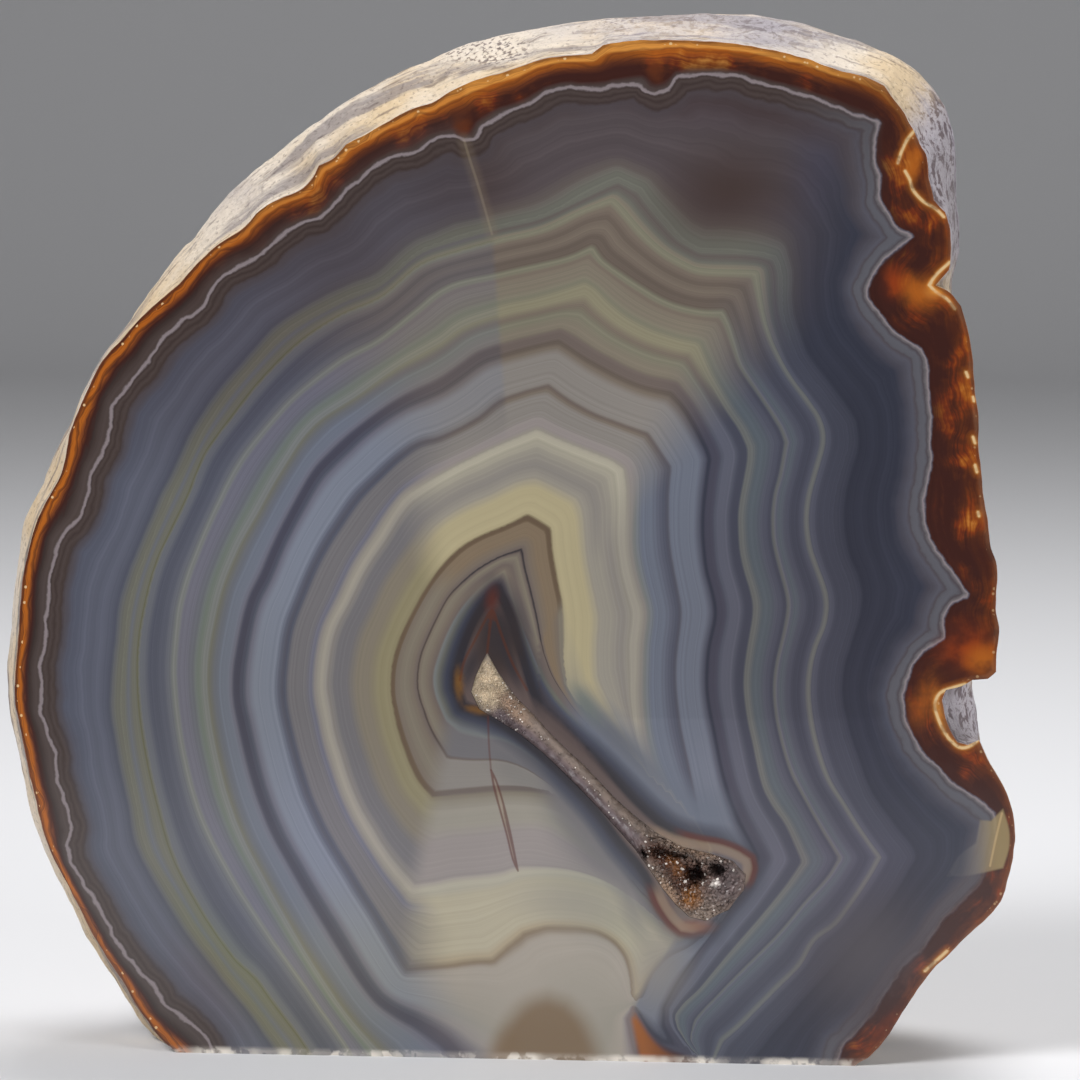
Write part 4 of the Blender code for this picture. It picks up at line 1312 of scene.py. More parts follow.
def build_stone(settings):
    """The nodule with its rough skin, polished face, sawn base and hollow."""
    edge = smooth_path([tuple(on_face(point)) for point in FACE_EDGE + SAWN_OFF],
                       FACE_STEP, True)
    wiggle = [noise.noise(Vector((x, 0.0, z)) / (1.7 * MM)) * 0.1 * MM for x, z in edge]
    edge += (edge - np.array((CENTRE_SIDE, CENTRE_HEIGHT))) * np.array(wiggle)[:, None] / (70 * MM)
    outline = Loop(edge)
    body = Body([on_plane(point, BODY_START) for point in BODY_EDGE])
    bm = bmesh.new()
    share_layer = bm.verts.layers.float.new("round_share")
    back_layer = bm.verts.layers.float.new("back_share")
    pocket_layer = bm.verts.layers.float.new("pocket")
    bm.verts.layers.float.new("chip")
    rim = [bm.verts.new((point.x, 0.0, point.y)) for point in outline.points]
    last = [(mark / outline.length, vert) for mark, vert in zip(outline.marks, rim)]
    where = {vert: (share, 0.0) for share, vert in last}
    depths = ring_depths()
    for number, depth in enumerate(depths):
        count = max(6, round(outline.length * narrowing(depth) / SKIN_STEP))
        ring = []
        for place in range(count):
            share = (place + 0.5 * (number % 2)) / count
            vert = bm.verts.new(skin_point(outline, body, share, depth, settings.grain))
            where[vert] = (share, (number + 1) / len(depths))
            ring.append((share, vert))
        stitch(bm, last, ring)
        last = ring
    bm.faces.new([vert for share, vert in last])
    for vert, (share, back) in where.items():
        vert[share_layer] = share
        vert[back_layer] = back
    rows = hollow_rows(HOLLOW_STEPS, HOLLOW_ACROSS, 0.0, 0.0, 0.0)
    pocket, mouth = add_hollow(bm, rows, 0.0, 0.0)
    for quad in pocket:
        for vert in quad.verts:
            vert[pocket_layer] = 1.0
    fill_face(bm, rim, mouth)
    base = set(cut_base(bm))
    chip_edge(bm, settings.chip_size)
    bmesh.ops.triangulate(bm, faces=[face for face in bm.faces if len(face.verts) > 3])
    bmesh.ops.recalc_face_normals(bm, faces=bm.faces[:])
    for face in bm.faces:
        flat_front = all(abs(vert.co.y) < 1e-7 or vert[pocket_layer] > 0.5
                         or vert.co.z < 1e-6 and vert.co.y < 0.9 * MM for vert in face.verts)
        if face in base:
            face.material_index = 2
        elif flat_front:
            face.material_index = 0
        else:
            face.material_index = 1
    mesh = bpy.data.meshes.new("agate_nodule")
    bm.to_mesh(mesh)
    bm.free()
    return mesh


class Nodes:
    """Short way to add and link shader nodes in one tree."""

    def __init__(self, tree):
        self.tree = tree

    def add(self, kind, values=None, **settings):
        """A node with its settings, and values or links for its inputs."""
        node = self.tree.nodes.new("ShaderNode" + kind)
        for name, value in settings.items():
            setattr(node, name, value)
        for name, value in (values or {}).items():
            socket = node.inputs[name]
            if isinstance(value, bpy.types.NodeSocket):
                self.tree.links.new(value, socket)
            else:
                socket.default_value = value
        return node

    def math(self, operation, first, second=0.0, clamp=False):
        """Result of one sum."""
        node = self.add("Math", {0: first, 1: second}, operation=operation, use_clamp=clamp)
        return node.outputs[0]

    def mix(self, factor, first, second, blend="MIX"):
        """Mix of two colours."""
        node = self.add("Mix", {0: factor, 6: first, 7: second}, data_type="RGBA",
                        blend_type=blend)
        return node.outputs[2]

    def span(self, value, low, high, start=0.0, end=1.0):
        """A value drawn smoothly from one range to another."""
        node = self.add("MapRange", {"Value": value, "From Min": low, "From Max": high,
                                     "To Min": start, "To Max": end},
                        interpolation_type="SMOOTHSTEP")
        return node.outputs[0]

    def stored(self, name):
        """A number that the mesh stores at its verts."""
        return self.add("Attribute", attribute_name=name).outputs["Fac"]


def opaque(colour):
    """Colour with full alpha."""
    return (*colour, 1.0)


def new_group(name, inputs, outputs):
    """Node group with named sockets: name, kind, and a value for an input."""
    group = bpy.data.node_groups.new(name, "ShaderNodeTree")
    for label, kind, value in inputs:
        socket = group.interface.new_socket(label, in_out="INPUT", socket_type=kind)
        socket.default_value = value
    for label, kind in outputs:
        group.interface.new_socket(label, in_out="OUTPUT", socket_type=kind)
    nodes = Nodes(group)
    return group, nodes, nodes.tree.nodes.new("NodeGroupInput"), group.nodes.new("NodeGroupOutput")


def band_ramp(nodes, band, column, colours):
    """Colours of one column of the band table along the band number."""
    rows = [(row[0], getattr(colours, row[column + 1])) for row in BANDS]
    most = 31
    result = None
    for low in range(0, len(rows) - 1, most - 1):
        part = rows[low:low + most]
        stops = [(mark, colour, 1.0) for mark, colour in part]
        colour, _ = colour_ramp(nodes, band, stops)
        if result is not None:
            colour = nodes.mix(nodes.math("GREATER_THAN", band, part[0][0]), result, colour)
        result = colour
    return result


def colour_ramp(nodes, value, stops):
    """Colour and cover along a value, from stops of place, colour and cover."""
    start, end = stops[0][0], stops[-1][0]
    place = nodes.add("MapRange", {"Value": value, "From Min": start, "From Max": end})
    ramp = nodes.add("ValToRGB", {"Fac": place.outputs[0]})
    elements = ramp.color_ramp.elements
    while len(elements) < len(stops):
        elements.new(1.0)
    for element, (mark, colour, cover) in zip(elements, stops):
        element.position = (mark - start) / (end - start)
        element.color = (*colour, cover)
    return ramp.outputs["Color"], ramp.outputs["Alpha"]


def laminae_group():
    """Node group for the finest growth lines: fine light and dark along the bands."""
    group, nodes, start, end = new_group(
        "Fine laminae",
        [("Band", "NodeSocketFloat", 0.0), ("Contrast", "NodeSocketFloat", 0.15)],
        [("Light", "NodeSocketFloat")])
    place = nodes.add("TexCoord").outputs["Object"]
    drift = nodes.add("TexNoise", {"Vector": place, "Scale": 38.0, "Detail": 1.0})
    band = nodes.math("ADD", start.outputs["Band"],
                      nodes.math("MULTIPLY", drift.outputs[0], 0.05))
    coarse = nodes.add("TexNoise", {"W": band, "Scale": 9.0, "Detail": 3.0, "Roughness": 0.75},
                       noise_dimensions="1D")
    fine = nodes.add("TexNoise", {"W": band, "Scale": 34.0, "Detail": 2.0, "Roughness": 0.8},
                     noise_dimensions="1D")
    both = nodes.math("ADD", nodes.math("SUBTRACT", coarse.outputs[0], 0.5),
                      nodes.math("MULTIPLY", nodes.math("SUBTRACT", fine.outputs[0], 0.5), 0.7))
    light = nodes.math("ADD", nodes.math("MULTIPLY", both,
                                         nodes.math("MULTIPLY", start.outputs["Contrast"], 3.0)),
                       1.0)
    nodes.tree.links.new(light, end.inputs["Light"])
    return group


def grain_group():
    """Node group for stone grain: its height and a mask of crumbs."""
    group, nodes, start, end = new_group(
        "Stone grain",
        [("Size", "NodeSocketFloat", 400.0), ("Rough", "NodeSocketFloat", 0.7)],
        [("Height", "NodeSocketFloat"), ("Crumbs", "NodeSocketFloat")])
    place = nodes.add("TexCoord").outputs["Object"]
    grain = nodes.add("TexNoise", {"Vector": place, "Scale": start.outputs["Size"], "Detail": 6.0,
                                   "Roughness": start.outputs["Rough"]})
    cells = nodes.add("TexVoronoi", {"Vector": place, "Scale": start.outputs["Size"]})
    crumbs = nodes.span(cells.outputs["Distance"], 0.15, 0.55)
    height = nodes.math("ADD", grain.outputs[0], nodes.math("MULTIPLY", crumbs, 0.3))
    nodes.tree.links.new(height, end.inputs["Height"])
    nodes.tree.links.new(crumbs, end.inputs["Crumbs"])
    return group


def new_material(name):
    """Material with its node helper and its Principled shader."""
    material = bpy.data.materials.new(name)
    material.use_nodes = True
    shader = material.node_tree.nodes["Principled BSDF"]
    return material, Nodes(material.node_tree), shader


def use_group(nodes, group, values):
    """Place a node group with values or links for its inputs."""
    node = nodes.tree.nodes.new("ShaderNodeGroup")
    node.node_tree = group
    for name, value in values.items():
        if isinstance(value, bpy.types.NodeSocket):
            nodes.tree.links.new(value, node.inputs[name])
        else:
            node.inputs[name].default_value = value
    return node


def polished_agate(settings, colours, laminae):
    """Polished banded agate of the face."""
    material, nodes, shader = new_material("Polished agate")
    place = nodes.add("TexCoord").outputs["Object"]
    where = nodes.add("SeparateXYZ", {0: place})
    band = nodes.stored("band")
    waves = nodes.add("TexNoise", {"Vector": place, "Scale": 260.0, "Detail": 2.0})
    swell = nodes.add("TexNoise", {"Vector": place, "Scale": 90.0, "Detail": 1.0})
    near_rim = nodes.span(band, 0.5, 2.0, 1.0, 0.15)
    ripple = nodes.math("MULTIPLY", nodes.math("SUBTRACT", waves.outputs[0], 0.5),
                        nodes.math("MULTIPLY", near_rim, 0.14))
    sway = nodes.math("MULTIPLY", nodes.math("SUBTRACT", swell.outputs[0], 0.5), 0.08)
    band = nodes.math("ADD", band, nodes.math("ADD", ripple, sway))
    colour = band_ramp(nodes, band, 0, colours)
    for column, name in ((1, "top_share"), (2, "right_share"), (3, "lower_share")):
        colour = nodes.mix(nodes.stored(name), colour, band_ramp(nodes, band, column, colours))
    calm = nodes.span(nodes.stored("dome"), -110.0, -10.0, 1.0, 0.15)
    calm = nodes.math("MULTIPLY", calm, nodes.span(nodes.stored("lower_share"), 0.2, 0.9, 1.0, 0.7))
    calm = nodes.math("MULTIPLY", calm, nodes.span(band, 8.1, 8.6, 1.0, 0.5))
    lines = use_group(nodes, laminae, {"Band": band, "Contrast": nodes.math(
        "MULTIPLY", calm, settings.laminae)})
    cloud = nodes.add("TexNoise", {"Vector": place, "Scale": 26.0, "Detail": 2.0})
    light = nodes.math("MULTIPLY", lines.outputs["Light"],
                       nodes.span(cloud.outputs[0], 0.3, 0.7, 0.95, 1.05))
    colour = nodes.mix(1.0, colour, light, "MULTIPLY")
    # Multiply by the veils and the painted reflection strip
    colour = nodes.mix(1.0, colour, nodes.add("Attribute", attribute_name="veil").outputs[0],
                       "MULTIPLY")
    rim, on_right = nodes.stored("rim"), nodes.stored("right_share")
    twist = nodes.add("TexNoise", {"Vector": place, "Scale": 190.0, "Detail": 2.0})
    layer = nodes.math("ADD", rim, nodes.math("MULTIPLY", twist.outputs[0], 26.0))
    layers = nodes.add("TexNoise", {"W": layer, "Scale": 0.24, "Detail": 3.0, "Roughness": 0.6},
                       noise_dimensions="1D")
    glow = nodes.add("TexNoise", {"Vector": place, "Scale": 130.0, "Detail": 4.0,
                                  "Roughness": 0.55})
    thick = nodes.math("MAXIMUM", on_right, nodes.math("MULTIPLY", nodes.stored("top_share"), 0.7))
    blend = nodes.math("ADD", nodes.math("MULTIPLY", layers.outputs[0], 0.14),
                       nodes.math("MULTIPLY", glow.outputs[0], 0.86))
    line, cover = colour_ramp(nodes, blend, [
        (0.38, colours.maroon, 0.9), (0.47, colours.maroon, 0.6), (0.52, colours.rust, 0.5),
        (0.56, colours.ember, 0.6), (0.61, colours.rind_orange, 0.8), (0.67, colours.amber, 0.85)])
    cover = nodes.math("MULTIPLY", cover, nodes.math("MULTIPLY", thick, nodes.span(
        band, 0.55, 1.0, 0.95, 0.0)))
    cover = nodes.math("MULTIPLY", cover, nodes.math("MAXIMUM", on_right, nodes.span(
        band, 0.15, 0.4, 0.25, 1.0)))
    colour = nodes.mix(cover, colour, line)
    shade = nodes.math("MULTIPLY", nodes.span(layers.outputs[0], 0.40, 0.52, 0.65, 0.0),
                       nodes.span(band, 0.35, 0.8, 1.0, 0.0))
    shade = nodes.math("MULTIPLY", shade, nodes.math("SUBTRACT", 1.0, nodes.math(
        "MULTIPLY", thick, 0.75)))
    colour = nodes.mix(shade, colour, opaque(colours.maroon))
    jags = nodes.add("TexNoise", {"Vector": place, "Scale": 420.0, "Detail": 3.0})
    white = nodes.math("ADD", nodes.stored("white"), nodes.math(
        "MULTIPLY", nodes.math("SUBTRACT", jags.outputs[0], 0.5), 9.0))
    line, cover = colour_ramp(nodes, white, [
        (-7.0, colours.umber, 0.0), (-2.6, colours.umber, 0.4), (-1.0, colours.white_line, 0.8),
        (0.8, colours.white_line, 0.9), (2.6, colours.dark_umber, 0.65), (5.0, colours.umber, 0.8),
        (8.0, colours.dark_umber, 0.7), (11.0, colours.umber, 0.7), (14.5, colours.dark_umber, 0.6),
        (18.0, colours.warm_slate, 0.5), (28.0, colours.warm_slate, 0.0)])
    other, other_cover = colour_ramp(nodes, white, [
        (-3.0, colours.maroon, 0.0), (-1.2, colours.lavender, 0.6), (0.0, colours.white_line, 1.0),
        (1.8, colours.purple_grey, 0.8), (4.0, colours.warm_slate, 0.7), (7.0, colours.grey, 0.6),
        (11.0, colours.grey, 0.5), (13.5, colours.warm_slate, 0.8), (17.0, colours.slate_blue, 0.5),
        (34.0, colours.warm_slate, 0.0)])
    line = nodes.mix(on_right, line, other)
    cover = nodes.math("ADD", nodes.math("MULTIPLY", other_cover, on_right), nodes.math(
        "MULTIPLY", cover, nodes.math("SUBTRACT", 1.0, on_right)))
    low_right = nodes.math("MULTIPLY", nodes.span(where.outputs[0], 0.044, 0.054),
                           nodes.span(where.outputs[2], 0.038, 0.028, 0.0, 0.8))
    cover = nodes.math("MULTIPLY", cover, nodes.math("SUBTRACT", 1.0, low_right))
    colour = nodes.mix(cover, colour, line)
    quartz = nodes.stored("quartz")
    aside = nodes.math("ADD", nodes.math("MULTIPLY", where.outputs[0], 0.731),
                       nodes.math("MULTIPLY", where.outputs[2], 0.682))
    upper = nodes.span(aside, 0.0355, 0.0375)
    along = nodes.math("MULTIPLY", nodes.span(where.outputs[0], 0.008, 0.013),
                       nodes.span(where.outputs[0], 0.030, 0.035, 1.0, 0.0))
    below = nodes.math("MULTIPLY", nodes.span(where.outputs[0], 0.004, 0.009),
                       nodes.span(where.outputs[0], 0.018, 0.023, 1.0, 0.0))
    for side, stretch, reach, shade in (
            (upper, along, 56.0, colours.light_slate),
            (nodes.math("SUBTRACT", 1.0, upper), below, 40.0, colours.purple_grey)):
        line, cover = colour_ramp(nodes, quartz, [
            (-reach, shade, 0.0), (-0.6 * reach, shade, 0.8), (-18.0, shade, 0.95),
            (-9.0, colours.slate, 0.9)])
        cover = nodes.math("MULTIPLY", cover, nodes.math("MULTIPLY", stretch, nodes.math(
            "MULTIPLY", side, nodes.math("LESS_THAN", quartz, 0.0))))
        colour = nodes.mix(cover, colour, line)
    line, cover = colour_ramp(nodes, quartz, [
        (-20.0, colours.navy, 0.0), (-9.0, colours.navy, 0.55), (-3.0, colours.ink, 0.85),
        (0.0, colours.ink, 0.95), (3.0, colours.ink, 0.9), (7.0, colours.quartz_grey, 1.0)])
    cover = nodes.math("MULTIPLY", cover, nodes.span(where.outputs[0], 0.024, 0.030, 1.0, 0.75))
    colour = nodes.mix(cover, colour, line)
    patchy = nodes.math("MAXIMUM", nodes.span(glow.outputs[0], 0.38, 0.56, 0.25, 1.0),
                        nodes.span(band, 1.0, 1.3))
    colour = nodes.mix(nodes.math("MULTIPLY", nodes.stored("spot_share"), patchy), colour,
                       nodes.add("Attribute", attribute_name="spot").outputs[0])
    line, cover = colour_ramp(nodes, quartz, [
        (-6.0, colours.blood, 0.0), (-2.5, colours.blood, 0.75), (0.5, colours.blood, 0.9),
        (4.0, colours.tan, 0.6), (9.0, colours.tan, 0.5), (12.0, colours.tan, 0.0)])
    low_left = nodes.math("MULTIPLY", nodes.span(where.outputs[2], 0.0265, 0.0235),
                          nodes.span(where.outputs[0], 0.0262, 0.0310, 1.0, 0.0))
    low_left = nodes.math("MULTIPLY", low_left, nodes.span(where.outputs[2], 0.017, 0.02, 0.45, 1.0))
    stained = nodes.math("MAXIMUM", low_left, nodes.math(
        "MULTIPLY", nodes.span(where.outputs[0], 0.0245, 0.0275),
        nodes.span(where.outputs[2], 0.0245, 0.0270)))
    colour = nodes.mix(nodes.math("MULTIPLY", cover, stained), colour, line)
    patch = nodes.add("TexNoise", {"Vector": place, "Scale": 130.0, "Detail": 3.0})
    broken = nodes.span(patch.outputs[0], 0.38, 0.58)
    line, cover = colour_ramp(nodes, rim, [
        (0.0, colours.rind_tan, 0.8), (1.2, colours.rust, 0.8),
        (2.6, colours.rust, 0.5), (5.0, colours.rind_orange, 0.0)])
    colour = nodes.mix(nodes.math("MULTIPLY", cover, broken), colour, line)
    cells = nodes.add("TexVoronoi", {"Vector": place, "Scale": 1300.0})
    beads = nodes.math("MULTIPLY", nodes.span(cells.outputs["Distance"], 0.2, 0.36, 1.0, 0.0),
                       nodes.math("GREATER_THAN", cells.outputs["Color"], 0.6))
    belt = nodes.math("COMPARE", rim, 3.4)
    belt.node.inputs[2].default_value = 1.5
    belt = nodes.math("MULTIPLY", belt, nodes.math("SUBTRACT", 1.0, nodes.math(
        "MULTIPLY", on_right, 0.65)))
    colour = nodes.mix(nodes.math("MULTIPLY", beads, belt), colour, opaque(colours.thread_cream))
    for name, shade, low, high, share in (("dome", "dome_brown", -16.0, 12.0, 0.9),
                                          ("wedge", "wedge_orange", -1.0, 6.0, 0.9)):
        cover = nodes.span(nodes.stored(name), low, high, 0.0, share)
        colour = nodes.mix(cover, colour, opaque(getattr(colours, shade)))
    glassy = nodes.mix(nodes.span(where.outputs[0], 0.067, 0.0715), opaque(colours.warm_grey),
                       opaque(colours.window_yellow))
    cover = nodes.math("MULTIPLY", nodes.span(nodes.stored("window"), -1.5, 1.5),
                       nodes.span(where.outputs[0], 0.066, 0.072, 0.1, 0.85))
    colour = nodes.mix(cover, colour, glassy)
    burnt = nodes.math("MULTIPLY", nodes.span(nodes.stored("wedge"), -4.0, 1.5),
                       nodes.span(where.outputs[0], 0.0195, 0.0275, 0.0, 0.85))
    colour = nodes.mix(burnt, colour, opaque(colours.maroon))
    line, cover = colour_ramp(nodes, nodes.stored("thread"), [
        (0.0, colours.thread_cream, 1.0), (1.0, colours.thread_cream, 0.9),
        (2.1, colours.amber, 0.4), (3.5, colours.rind_orange, 0.3),
        (8.0, colours.rind_orange, 0.0)])
    cover = nodes.math("MULTIPLY", cover, nodes.span(jags.outputs[0], 0.38, 0.5, 0.4, 1.0))
    colour = nodes.mix(cover, colour, line)
    line, cover = colour_ramp(nodes, nodes.stored("sliver"), [
        (-1.5, colours.blood, 0.0), (-0.3, colours.blood, 0.7), (0.7, colours.blood, 0.7),
        (1.8, colours.tan, 0.35)])
    colour = nodes.mix(cover, colour, line)
    for name, shade, width, share in (("red_crack", "blood", 1.3, 0.5),
                                      ("ray", "rust", 1.6, 0.5),
                                      ("crease", "thread_cream", 1.4, 0.35),
                                      ("yellow_crack", "tan_line", 8.0, 0.22),
                                      ("yellow_crack", "yellow_tan", 1.6, 0.2)):
        cover = nodes.span(nodes.stored(name), 0.2 * width, 1.3 * width, share, 0.0)
        colour = nodes.mix(cover, colour, opaque(getattr(colours, shade)))
    crumbly = nodes.math("MULTIPLY", nodes.span(patch.outputs[0], 0.42, 0.6, 0.3, 1.0),
                         nodes.span(jags.outputs[0], 0.42, 0.52, 0.3, 1.0))
    foot = nodes.math("MULTIPLY", nodes.span(where.outputs[2], 0.0003, 0.0013, 0.95, 0.0), crumbly)
    chip = nodes.math("MAXIMUM", nodes.span(nodes.stored("chip"), 0.15, 0.6), foot)
    colour = nodes.mix(chip, colour, opaque(colours.chip_white))
    nodes.tree.links.new(colour, shader.inputs["Base Color"])
    rub = nodes.add("TexNoise", {"Vector": place, "Scale": 900.0, "Detail": 4.0})
    rough = nodes.math("ADD", nodes.math("MULTIPLY", rub.outputs[0], 0.1), settings.gloss - 0.05)
    rough = nodes.math("ADD", rough, nodes.math("MULTIPLY", chip, 0.5))
    nodes.tree.links.new(rough, shader.inputs["Roughness"])
    shader.inputs["IOR"].default_value = 1.54
    ripple_bump = nodes.add("TexNoise", {"Vector": place, "Scale": 60.0, "Detail": 1.0})
    bump = nodes.add("Bump", {"Height": ripple_bump.outputs[0], "Strength": 0.05,
                              "Distance": 0.0004})
    nodes.tree.links.new(bump.outputs[0], shader.inputs["Normal"])
    return material


def rough_skin(skin, grain):
    """Rough outside of the nodule: streaked cream skin, chalky spots, a pale network."""
    material, nodes, shader = new_material("Nodule skin")
    place = nodes.add("TexCoord").outputs["Object"]
    way = nodes.add("Attribute", attribute_name="way").outputs["Vector"]
    along = nodes.add("Mapping", {"Vector": way, "Scale": (26.0, 170.0, 26.0)})
    streak = nodes.add("TexNoise", {"Vector": along.outputs[0], "Scale": 1.0, "Detail": 5.0,
                                    "Roughness": 0.62, "Distortion": 0.5})
    thin = nodes.add("Mapping", {"Vector": way, "Scale": (130.0, 800.0, 130.0)})
    thread = nodes.add("TexNoise", {"Vector": thin.outputs[0], "Scale": 1.0, "Detail": 4.0})
    speckle = nodes.add("TexNoise", {"Vector": place, "Scale": 1500.0, "Detail": 4.0})
    patch = nodes.add("TexNoise", {"Vector": place, "Scale": 45.0, "Detail": 5.0})
    fine = use_group(nodes, grain, {"Size": 800.0, "Rough": 0.7})
    colour = nodes.mix(nodes.span(patch.outputs[0], 0.4, 0.6), opaque(skin.cream),
                       opaque(skin.white))
    colour = nodes.mix(nodes.span(streak.outputs[0], 0.49, 0.60, 0.0, 0.75), colour,
                       opaque(skin.lilac))
    colour = nodes.mix(nodes.span(thread.outputs[0], 0.57, 0.70, 0.0, 0.6), colour,
                       opaque(skin.brown))
    colour = nodes.mix(nodes.span(speckle.outputs[0], 0.56, 0.68, 0.0, 0.45), colour,
                       opaque(skin.brown))
    torn = nodes.math("MULTIPLY", nodes.math("SUBTRACT", patch.outputs[0], 0.5), 1.8)
    chalk = nodes.span(nodes.math("ADD", nodes.stored("chalk"), torn), 0.15, 0.85)
    white = nodes.math("MULTIPLY", chalk, nodes.span(speckle.outputs[0], 0.46, 0.54))
    dark = nodes.math("MULTIPLY", chalk, nodes.span(speckle.outputs[0], 0.48, 0.40, 0.0, 0.75))
    colour = nodes.mix(white, colour, opaque(skin.white))
    colour = nodes.mix(dark, colour, opaque(skin.brown))
    tangle = nodes.add("TexNoise", {"Vector": place, "Scale": 330.0, "Detail": 7.0,
                                    "Roughness": 0.68, "Distortion": 0.4})
    hollows = nodes.span(nodes.math("ABSOLUTE", nodes.math("SUBTRACT", tangle.outputs[0], 0.5)),
                         0.02, 0.10)
    net = nodes.mix(hollows, opaque(skin.net), opaque(skin.dusk))
    net = nodes.mix(nodes.span(patch.outputs[0], 0.42, 0.58, 0.0, 0.5), net, opaque(skin.lilac))
    netted = nodes.span(nodes.math("ADD", nodes.stored("network"), torn), 0.1, 0.9, 0.0, 0.9)
    colour = nodes.mix(netted, colour, net)
    # Concave places of the skin are drawn towards brown
    low = nodes.span(nodes.add("NewGeometry").outputs["Pointiness"], 0.49, 0.43, 0.0, 0.8)
    colour = nodes.mix(low, colour, opaque(skin.brown))
    nodes.tree.links.new(colour, shader.inputs["Base Color"])
    rough = nodes.span(fine.outputs["Crumbs"], 0.0, 1.0, 0.5, 0.85)
    nodes.tree.links.new(rough, shader.inputs["Roughness"])
    height = nodes.math("ADD", fine.outputs["Height"], streak.outputs[0])
    bump = nodes.add("Bump", {"Height": height, "Strength": 0.6, "Distance": 0.0006})
    nodes.tree.links.new(bump.outputs[0], shader.inputs["Normal"])
    return material


def sawn_stone(skin, colours, grain):
    """Dull sawn base."""
    material, nodes, shader = new_material("Sawn agate")
    place = nodes.add("TexCoord").outputs["Object"]
    fine = use_group(nodes, grain, {"Size": 900.0, "Rough": 0.6})
    marks = nodes.add("TexWave", {"Vector": place, "Scale": 160.0, "Distortion": 1.2,
                                  "Detail": 2.0}, bands_direction="X")
    line, cover = colour_ramp(nodes, nodes.stored("rim_base"), [
        (0.0, colours.rind_orange, 1.0), (1.4, colours.rust, 1.0), (2.6, colours.umber, 1.0),
        (3.0, colours.white_line, 1.0), (3.4, colours.slate, 0.9), (9.0, colours.grey, 0.6),
        (14.0, colours.lavender, 0.5), (16.0, colours.slate, 0.6), (22.0, colours.grey, 0.0)])
    colour = nodes.mix(nodes.span(marks.outputs["Fac"], 0.0, 1.0, 0.0, 0.25),
                       opaque(skin.sawn), opaque(colours.grey))
    colour = nodes.mix(cover, colour, line)
    nodes.tree.links.new(colour, shader.inputs["Base Color"])
    rough = nodes.span(fine.outputs["Crumbs"], 0.0, 1.0, 0.5, 0.7)
    nodes.tree.links.new(rough, shader.inputs["Roughness"])
    bump = nodes.add("Bump", {"Height": fine.outputs["Height"], "Strength": 0.3,
                              "Distance": 0.0002})
    nodes.tree.links.new(bump.outputs[0], shader.inputs["Normal"])
    return material


def druse_quartz(grain):
    """Small quartz crystals."""
    material, nodes, shader = new_material("Quartz druse")
    place = nodes.add("TexCoord").outputs["Object"]
    patch = nodes.add("TexNoise", {"Vector": place, "Scale": 900.0, "Detail": 3.0})
    colour = nodes.add("Attribute", attribute_name="druse").outputs["Color"]
    light = nodes.span(patch.outputs[0], 0.3, 0.7, 0.8, 1.2)
    colour = nodes.mix(1.0, colour, light, "MULTIPLY")
    nodes.tree.links.new(colour, shader.inputs["Base Color"])
    rough = nodes.span(patch.outputs[0], 0.3, 0.7, 0.2, 0.42)
    nodes.tree.links.new(rough, shader.inputs["Roughness"])
    fine = use_group(nodes, grain, {"Size": 2400.0, "Rough": 0.6})
    bump = nodes.add("Bump", {"Height": fine.outputs["Height"], "Strength": 0.25,
                              "Distance": 0.0001})
    nodes.tree.links.new(bump.outputs[0], shader.inputs["Normal"])
    return material


def add_point(bm, foot, axis, width, height, draw):
    """A six-sided quartz point, a short prism with a pointed cap; returns its verts."""
    side = axis.orthogonal().normalized()
    other = axis.cross(side)
    spin = draw.uniform(0.0, math.tau)
    rings = []
    for level in (-0.3, 0.55):
        ring = []
        for number in range(6):
            turn = spin + number * math.tau / 6
            flat = side * math.cos(turn) + other * math.sin(turn)
            ring.append(bm.verts.new(foot + flat * width * 0.5 + axis * height * level))
        rings.append(ring)
    tip = bm.verts.new(foot + axis * height + side * width * draw.uniform(-0.12, 0.12))
    for number in range(6):
        after = (number + 1) % 6
        bm.faces.new((rings[0][number], rings[0][after], rings[1][after], rings[1][number]))
        bm.faces.new((rings[1][number], rings[1][after], tip))
    bm.faces.new(list(reversed(rings[0])))
    return rings[0] + rings[1] + [tip]


def druse_rows():
    """Rows of points over the druse: a shallow groove, with two deep holes at the end."""
    rows = hollow_rows(HOLLOW_STEPS, HOLLOW_ACROSS, CRUST_GAP + 0.03 * MM, CRUST_GAP,
                       CRUST_GAP + CRUST_THICKNESS)
    marks = [part / HOLLOW_STEPS for part in range(len(rows))]
    shares = np.interp(marks, range(len(DRUSE_DEPTHS)), DRUSE_DEPTHS)
    places = np.array([[tuple(point) for point in row] for row in rows])
    limit = places[:, :, 1].copy()
    across = np.sin(np.linspace(0.0, math.pi, HOLLOW_ACROSS + 1)) ** 0.8
    depth = CRUST_GAP + (limit - CRUST_GAP) * shares[:, None] * across
    flat = places.copy()
    flat[:, :, 1] = 0.0
    picture = to_picture(flat.reshape(-1, 3))
    ragged = np.array([noise.noise(Vector(place) / (1.5 * MM)) for place in flat.reshape(-1, 3)])
    for centre, radii, hole in DRUSE_HOLES:
        reach = (spot_reach(picture, centre, radii) + ragged * 0.5).reshape(limit.shape)
        depth = np.maximum(depth, np.minimum(limit, hole * MM * ease((1.0 - reach) / 0.45)))
    for row, row_depth, row_limit in zip(rows, depth, limit):
        for point, deep, most in zip(row[1:-1], row_depth[1:-1], row_limit[1:-1]):
            rough = noise.noise(point / (0.9 * MM)) * (0.28 * MM if point.x > 13 * MM else 0.07 * MM)
            point.y = min(max(deep + rough, CRUST_GAP * 2), most)
    return rows


